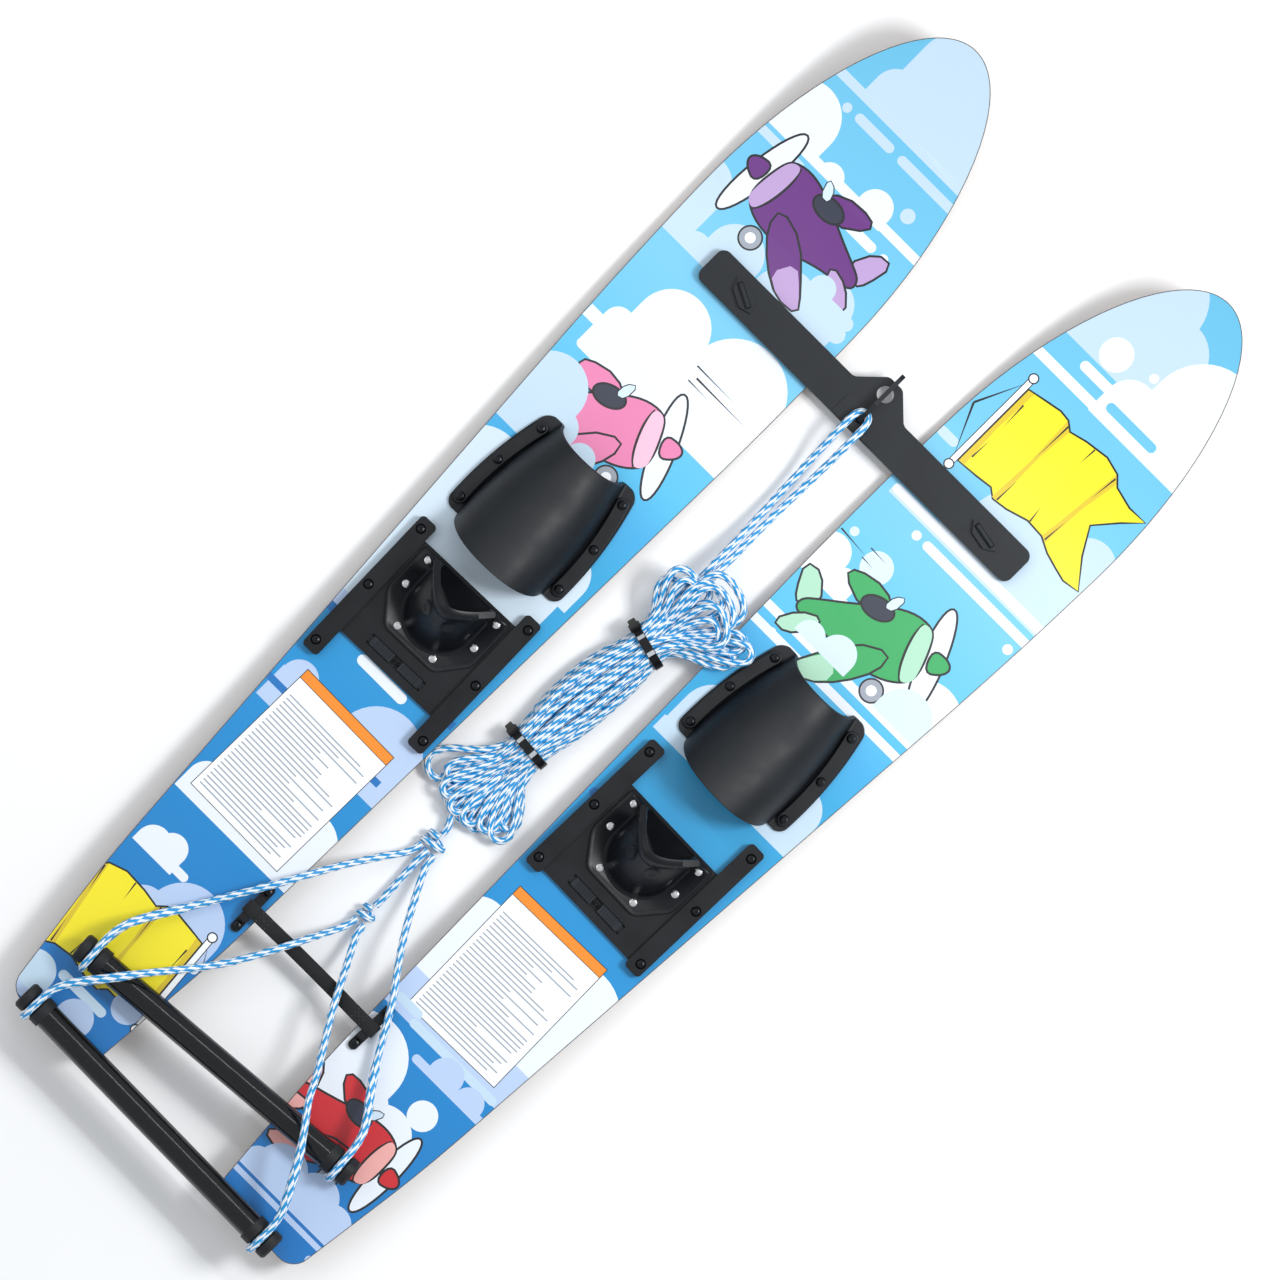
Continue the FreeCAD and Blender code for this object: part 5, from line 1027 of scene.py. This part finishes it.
def make_sheet(side, art):
    """The printed sheet: every inked shape is cut into its face, and each face corner holds its ink."""
    name = f"top_sheet_{side}"
    to_row = ski_matrix(side)
    to_ski = to_row.inverted()
    spread = [(to_ski @ (vertex.co / MM)).xy for vertex in NODES[name].data.vertices]
    rim = [tuple(spread[index]) for index in convex_hull_2d(spread)]
    on_ski = (Matrix.Translation((SIDES[side] * TAIL_SPACING, 0, 0))
              @ Matrix.Rotation(math.radians(-SIDES[side] * TOE_OUT), 4, "Z")).inverted()
    trim = grown(rim, -0.7)
    outlines = [rim, trim] + [[tuple((on_ski @ Vector((x, y, 0))).xy) for x, y in points] for _,
                              points in art]
    verts, edges = [], []
    for outline in outlines:
        first, count = len(verts), len(outline)
        edges += [(first + k, first + (k + 1) % count) for k in range(count)]
        verts += [Vector(point) for point in outline]
    for level in range(12, 1140, 12):
        edges.append((len(verts), len(verts) + 1))
        verts += [Vector((-100, level)), Vector((100, level))]
    points, _, cells, _, _, _ = delaunay_2d_cdt(verts, edges, [], 0, 1e-5)
    boxes = [(min(x for x, _ in outline), max(x for x, _ in outline),
              min(y for _, y in outline), max(y for _, y in outline)) for outline in outlines]

    def topmost(place):
        """The last shape that holds a place: 0 is the trimmed edge, 1 the bare sky and -1 off the ski."""
        if not inside(place, rim):
            return -1
        if not inside(place, trim):
            return 0
        for index in range(len(outlines) - 1, 1, -1):
            left, right, low, high = boxes[index]
            if left <= place.x <= right and low <= place.y <= high and inside(place, outlines[index]):
                return index
        return 1

    kept = [(list(cell), topmost(sum((points[i] for i in cell), Vector((0, 0))) / 3)) for cell in cells]
    kept = [(cell, source) for cell, source in kept if source >= 0]
    used = sorted({index for cell, _ in kept for index in cell})
    order = {index: place for place, index in enumerate(used)}
    count = len(used)
    joint = DECK - SHEET
    solid = [(points[i].x, points[i].y, deck_height(points[i].y, DECK)) for i in used]
    solid += [(points[i].x, points[i].y, deck_height(points[i].y, joint)) for i in used]
    top = [([order[i] for i in cell], source) for cell, source in kept]
    walls = {}
    for cell, _ in top:
        for a, b in zip(cell, cell[1:] + cell[:1]):
            walls[(a, b)] = walls.get((b, a), 0) + 1
    rims = [(a, b) for (a, b) in walls if (b, a) not in walls]
    skin = [tuple(cell) for cell, _ in top]
    skin += [tuple(index + count for index in reversed(cell)) for cell, _ in top]
    skin += [(b, a, a + count, b + count) for a, b in rims]
    piece = mesh_piece(f"printed_sheet_{side}", solid, skin, PRINT, to_row)
    piece.data.set_sharp_from_angle(angle=math.radians(40))
    layer = piece.data.color_attributes.new("ink", "FLOAT_COLOR", "CORNER")
    inks = {key: linear(code) for key, code in INKS.items()}
    for polygon in piece.data.polygons:
        source = top[polygon.index][1] if polygon.index < len(top) else 0
        ink = "edge" if source == 0 else "sky" if source == 1 else art[source - 2][0]
        for loop, vertex in zip(polygon.loop_indices, polygon.vertices):
            layer.data[loop].color = sky_ink(solid[vertex][1]) if ink == "sky" else inks[ink]
    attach(piece, "skis")
    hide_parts(name)


# ---------------------------------------------------------------- bindings
def through(share, rear, middle, front):
    """A value between three stations, on a smooth curve."""
    return (rear * (1 - share) * (1 - 2 * share) + middle * 4 * share * (1 - share)
            + front * share * (2 * share - 1))


def make_toe(side):
    """The rubber toe piece: one sheet bent into an arch, its flanges clamped flat on the ski."""
    thick, rows, sweep, corner = 3.0, 56, 40, 9.0
    rear_end, front_end = 558.0, 675.0
    verts, faces = [], []
    for row in range(rows + 1):
        share = (1 - math.cos(math.pi * row / rows)) / 2
        half = through(share, 49.5, 47.65, 36.5) - thick / 2
        height = through(share, 60.0, 52.0, 44.0) - thick / 2
        y = rear_end + (front_end - rear_end) * share
        from_end = min(y - rear_end, front_end - y, corner)
        flange = through(share, 65.0, 63.65, 52.0) - corner
        flange += math.sqrt(corner ** 2 - (corner - from_end) ** 2)
        lean_back = through(share, 20.0, 16.0, 13.0)
        up = Vector((0, -lean_back, height)).normalized()
        line = [(-flange, thick / 2), (-flange + 0.6, thick / 2), (-half - 4.2, thick / 2)]
        for step in range(6):
            angle = math.pi / 2 * step / 5
            line.append((-half - 4 + 4 * math.sin(angle), thick / 2 + 4 - 4 * math.cos(angle)))
        for step in range(1, sweep):
            angle = math.pi * (1 - step / sweep)
            across = math.copysign(abs(math.cos(angle)) ** 0.86, math.cos(angle)) * half
            level = thick / 2 + (height - thick / 2) * math.sin(angle) ** 0.86
            if level > thick / 2 + 4:
                line.append((across, level))
        line += [(-across, level) for across, level in reversed(line[:9])]
        ring = []
        squeeze = (0.55, 0.9, 1.0)[min(row, rows - row, 2)]
        for way in (1, -1):
            chain = list(range(len(line)))
            for k in (chain if way == 1 else reversed(chain)):
                before, after = Vector(line[max(k - 1, 0)]), Vector(line[min(k + 1, len(line) - 1)])
                out = (after - before).normalized()
                normal = Vector((-out.y, out.x)) * way * thick / 2 * squeeze
                place = Vector(line[k]) + normal
                ring.append(Vector((place.x, y, DECK)) + up * max(place.y, 0.0))
        verts.append(ring)
    size = len(verts[0])
    assert all(len(ring) == size for ring in verts)
    flat = [point for ring in verts for point in ring]
    for row in range(rows):
        for k in range(size):
            a, b = row * size + k, row * size + (k + 1) % size
            faces.append((a, a + size, b + size, b))
    for start, turned in ((0, False), (rows * size, True)):
        for k in range(size // 2 - 1):
            quad = (start + k, start + k + 1, start + size - 2 - k, start + size - 1 - k)
            faces.append(tuple(reversed(quad)) if turned else quad)
    piece = mesh_piece(f"toe_piece_{side}", flat, faces, TOE_RUBBER, ski_matrix(side))
    piece.data.set_sharp_from_angle(angle=math.radians(50))
    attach(piece, "skis")
    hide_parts(f"toe_rubber_{side}")


def cup_line(half, rear, front, bent, columns):
    """A level line of the cup's wall from its left front end to its right one.

    Low down it is a U with straight sides; a bend of 1 makes it the rim's soft V.
    """
    centre = rear + half
    straight = front - centre
    total = 2 * straight + math.pi * half
    points = []
    for column in range(columns + 1):
        run = total * column / columns
        if run < straight:
            place = Vector((-half, front - run))
        elif run > total - straight:
            place = Vector((half, front - (total - run)))
        else:
            angle = math.pi + (run - straight) / half
            place = Vector((half * math.cos(angle), centre + half * math.sin(angle)))
        spread = 2 * column / columns - 1
        across = half * math.sin(spread * math.pi / 2) * 0.25 + half * spread * 0.75
        vee = Vector((across, rear + (front - rear) * (math.hypot(across / half, 0.55) - 0.55) / 0.591))
        points.append(place.lerp(vee, bent))
    outs = []
    for column in range(columns + 1):
        way = (points[min(column + 1, columns)] - points[max(column - 1, 0)]).normalized()
        outs.append(Vector((way.y, -way.x)))
    return list(zip(points, outs))


def make_cup(side):
    """The heel cup: a flared foot on a riveted flange, oval dips under a thick rim, rounded front ends."""
    wall, columns, rows = 3.6, 96, 44
    place = ski_matrix(side, HEEL_OFFSET[side]) @ Matrix.Translation((0, 0, 16.3))
    outer, inner = [], []
    for row in range(rows + 1):
        share = row / rows
        half = through(share, 31.0, 31.0, 36.0) - wall / 2
        rear = through(share, 453.0, 468.0, 489.0) + wall / 2
        front = through(share, 508.0, 513.0, 517.0) - 1.0
        base = 2.2 + (68.0 - 2.2 - 1.5) * share
        drop = 16.0 * share
        bead = 1.5 * min(max((share - 0.86) / 0.05, 0.0), 1.0)
        flare = 3.4 * math.exp(-share / 0.035)
        bent = 0.85 * min(max((share - 0.35) / 0.6, 0.0), 1.0)
        line = cup_line(half, rear, front, bent * bent * (3 - 2 * bent), columns)
        for column, (point, out) in enumerate(line):
            run = column / columns
            ends = min(run, 1 - run) / 0.014
            thin = math.sqrt(max(1 - (1 - min(ends, 1.0)) ** 2, 0.12))
            crest = 1 - 0.16 * max((share - 0.975) / 0.025, 0.0) ** 2
            level = base - (point.y - rear) * drop / (front - rear)
            dip = 0.0
            for middle in (0.37, 0.63):
                away = ((run - middle) / 0.05) ** 2 + ((share - 0.72) / 0.10) ** 2
                dip += 2.0 * (1 - away) ** 0.5 if away < 1 else 0.0
            out_by = (wall / 2 + bead) * thin * crest + flare - dip
            in_by = (wall / 2 + bead * 0.9) * thin * crest
            outer.append(Vector((*(point + out * out_by), level)))
            inner.append(Vector((*(point - out * in_by), level)))
    width = columns + 1
    count = len(outer)
    verts = outer + inner
    faces = []
    for row in range(rows):
        for column in range(columns):
            a = row * width + column
            faces.append((a, a + 1, a + 1 + width, a + width))
            faces.append((count + a, count + a + width, count + a + 1 + width, count + a + 1))
        left, right = row * width, row * width + columns
        faces.append((left, left + width, count + left + width, count + left))
        faces.append((right, count + right, count + right + width, right + width))
    for column in range(columns):
        a = rows * width + column
        faces.append((a, a + 1, count + a + 1, count + a))
        faces.append((column, count + column, count + column + 1, column + 1))
    cup = mesh_piece(f"heel_cup_wall_{side}", verts, faces, HEEL_RUBBER, place)
    cup.data.set_sharp_from_angle(angle=math.radians(60))
    parts = [cup, make_flange(side, place)]
    for sign in (-1, 1):
        parts.append(make_wing(f"{side}_{'right' if sign > 0 else 'left'}", sign, place))
    liner = ringed(box(-33.5, 421.5, 33.5, 436.0), [(0.0, -4.28), (0.0, -4.1)], f"slot_liner_{side}",
                   NYLON, place)
    for piece in parts + [liner]:
        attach(piece, f"heel_{side}")
    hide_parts(f"heel_cup_{side}")


def make_wing(label, sign, place):
    """The web that ties a front end of the cup's wall to the flange's front corner."""
    verts, faces = [], []
    steps = 14
    for step in range(steps + 1):
        share = step / steps
        across = 27.0 + 22.0 * share
        height = 2.4 + 17.0 * (1 - share) ** 2.2
        middle = 514.5 + 1.5 * share
        for y, level in ((-3.2, 1.0), (-2.2, height - 1.0), (-1.0, height), (1.0, height),
                         (2.2, height - 1.0),
                         (3.2, 1.0)):
            verts.append((sign * across, middle + y, max(level, 1.0)))
    for step in range(steps):
        for k in range(6):
            a, b = step * 6 + k, step * 6 + (k + 1) % 6
            quad = (a, b, b + 6, a + 6)
            faces.append(quad if sign < 0 else quad[::-1])
    ends = (tuple(range(5, -1, -1)), tuple(range(steps * 6, steps * 6 + 6)))
    faces += [end if sign < 0 else end[::-1] for end in ends]
    wing = mesh_piece(f"heel_cup_wing_{label}", verts, faces, HEEL_RUBBER, place)
    wing.data.set_sharp_from_angle(angle=math.radians(50))
    return wing


def make_flange(side, place):
    """The cup's riveted foot, a lobed sheet with a shallow step inside its border."""
    corners = [(-50, 520.3), (-50, 470), (-29, 443.8), (29, 443.8), (50, 470), (50, 520.3)]
    outline = cornered(corners[::-1], 6.0)
    levels = [(0.5, 0.0), (0.0, 0.4), (0.0, 2.1), (0.5, 2.6), (3.2, 2.6), (3.8, 2.2)]
    return ringed(outline, levels, f"heel_cup_flange_{side}", HEEL_RUBBER, place)


def make_springs(side):
    """The latch spring as two coils that meet in the middle, each closing up under its own button."""
    reach, radius, wire, turns, around, sides = 10.2, 1.7, 0.25, 4.5, 22, 8
    low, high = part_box(f"latch_spring_{side}")
    middle = (Vector(low) + Vector(high)) / 2
    turned = ski_matrix(side).to_3x3().to_4x4()
    for label, way in (("outer", SIDES[side]), ("inner", -SIDES[side])):
        verts, faces = [], []
        steps = int(turns * around)
        for step in range(steps + 1):
            angle = 2 * math.pi * step / around
            along = way * (wire + (reach - 2 * wire) * step / steps)
            for k in range(sides):
                spin = 2 * math.pi * k / sides
                out = radius + wire * math.cos(spin)
                verts.append((along + wire * math.sin(spin), out * math.cos(angle), out * math.sin(angle)))
        for step in range(steps):
            for k in range(sides):
                a, b = step * sides + k, step * sides + (k + 1) % sides
                faces.append((a, b, b + sides, a + sides))
        faces.append(tuple(reversed(range(sides))))
        faces.append(tuple(range(steps * sides, (steps + 1) * sides)))
        if way < 0:
            faces = [face[::-1] for face in faces]
        coil = mesh_piece(f"latch_coil_{label}_{side}", verts, faces, BLACK_OXIDE,
                          Matrix.Translation(middle / MM) @ turned)
        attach(coil, f"heel_{side}")
        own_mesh(coil)
        if label == "outer":
            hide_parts(f"latch_spring_{side}")


def make_stitches(crest, place):
    """Boxed and crossed stitching that closes the strap's loops, along the top of the webbing."""
    half_across, first, last = 4.3, 50.5, 62.0
    stretch = [point for point in crest if first <= point[0] <= last]
    start, span = stretch[0][0], stretch[-1][0] - stretch[0][0]
    verts, edges = [], []
    for sign in (-1, 1):
        rows = [[(x, across, z) for x, z in stretch] for across in (-half_across, half_across)]
        rows += [[(x, -half_across, z), (x, half_across, z)] for x, z in (stretch[0], stretch[-1])]
        for way in (-1, 1):
            rows.append([(x, way * half_across * (2 * (x - start) / span - 1), z) for x, z in stretch])
        for row in rows:
            edges += [(len(verts) + k, len(verts) + k + 1) for k in range(len(row) - 1)]
            verts += [(sign * x, y, z) for x, y, z in row]
    mesh = bpy.data.meshes.new("strap_stitches")
    mesh.from_pydata([(place @ Vector(vert)) * MM for vert in verts], edges, [])
    stitches = bpy.data.objects.new("strap_stitches", mesh)
    bpy.context.scene.collection.objects.link(stitches)
    stitched(stitches, stitch_tree(THREAD),
             {"Pitch": 2.9 * MM, "Stitch Length": 2.3 * MM, "Thread Radius": 0.4 * MM})
    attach(stitches, "skis")


def make_strap():
    """Webbing between the skis: a loop of it round each ski's bridge, its two layers slack between them."""
    width, thick = 12.5, 1.8
    level = (LEAN @ Vector((0, STRAP_AT, DECK))).z
    half, low, high, eye = 71.5, 5.7, 9.3, 5.1
    upper = [(0, low - 10.2), (14, low - 9.8), (32, low - 7.0), (half - 22, low + 1.6),
             (half - eye - 0.9, high - 0.2), (half - 2, high + 0.9), (half + eye, high + 0.9),
             (half + eye + 1.0, (low + high) / 2), (half + eye, low - 0.9), (half - eye, low - 0.9),
             (half - 22, low - 0.9), (32, low - 9.2), (14, low - 12.0), (0, low - 12.4)]
    path = rounded(upper + [(-x, z) for x, z in reversed(upper[1:-1])], 3)
    section = [(-width / 2, -0.35), (-width / 2 + 0.5, -thick / 2), (width / 2 - 0.5, -thick / 2),
               (width / 2, -0.35), (width / 2, 0.35), (width / 2 - 0.5, thick / 2),
               (-width / 2 + 0.5, thick / 2), (-width / 2, 0.35)]
    verts, faces, runs, run = [], [], [], 0.0
    count, ring = len(path), len(section)
    for index, (x, z) in enumerate(path):
        before, after = Vector(path[index - 1]), Vector(path[(index + 1) % count])
        way = (after - before).normalized()
        runs.append(run)
        run += (after - Vector((x, z))).length
        verts += [(x - way.y * out, along, z + way.x * out) for along, out in section]
    for index in range(count):
        for k in range(ring):
            a, b = index * ring, (index + 1) % count * ring
            faces.append((a + k, b + k, b + (k + 1) % ring, a + (k + 1) % ring))
    place = Matrix.Translation((0, STRAP_AT + BENCH, level))
    strap = mesh_piece("webbing_strap", verts, faces, WEBBING, place)
    layer = strap.data.uv_layers.new(name="weave")
    for polygon in strap.data.polygons:
        for loop, vertex in zip(polygon.loop_indices, polygon.vertices):
            index = vertex // ring
            here = runs[index] if index or polygon.index // ring == 0 else run
            layer.data[loop].uv = (section[vertex % ring][0] + width, here)
    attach(strap, "skis")
    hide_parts("tether_strap")
    crest = [(x, z + thick / 2) for x, z in path[:path.index(max(path)) + 1]]
    make_stitches(crest, place)


for side, art in (("left", art_left()), ("right", art_right())):
    make_sheet(side, art)
    make_toe(side)
    make_cup(side)
    make_springs(side)
make_strap()

# The looks of the parts that are shown as they were made.
FINISHES = {
    LAMINATE: ("ski_core",), BLACK_OXIDE: ("binding_screws", "fin_screws", "tether_screws"),
    STEEL: ("heel_rivets",), BAR_NYLON: ("tip_bar", "tow_tongue", "lock_knob"),
    NYLON: ("heel_plate", "heel_rail", "toe_strip", "tail_fin", "tether_loop"),
    ACETAL: ("latch_button",),
    CAP_RUBBER: ("front_handle_cap", "rear_handle_cap"), GRIP: ("front_handle_grip", "rear_handle_grip"),
    ALUMINIUM: ("front_handle_tube", "rear_handle_tube"), BRASS: ("knob_inserts",)}
for name, node in NODES.items():
    for material, starts in FINISHES.items():
        if name.startswith(starts):
            node.data.materials.clear()
            node.data.materials.append(material)
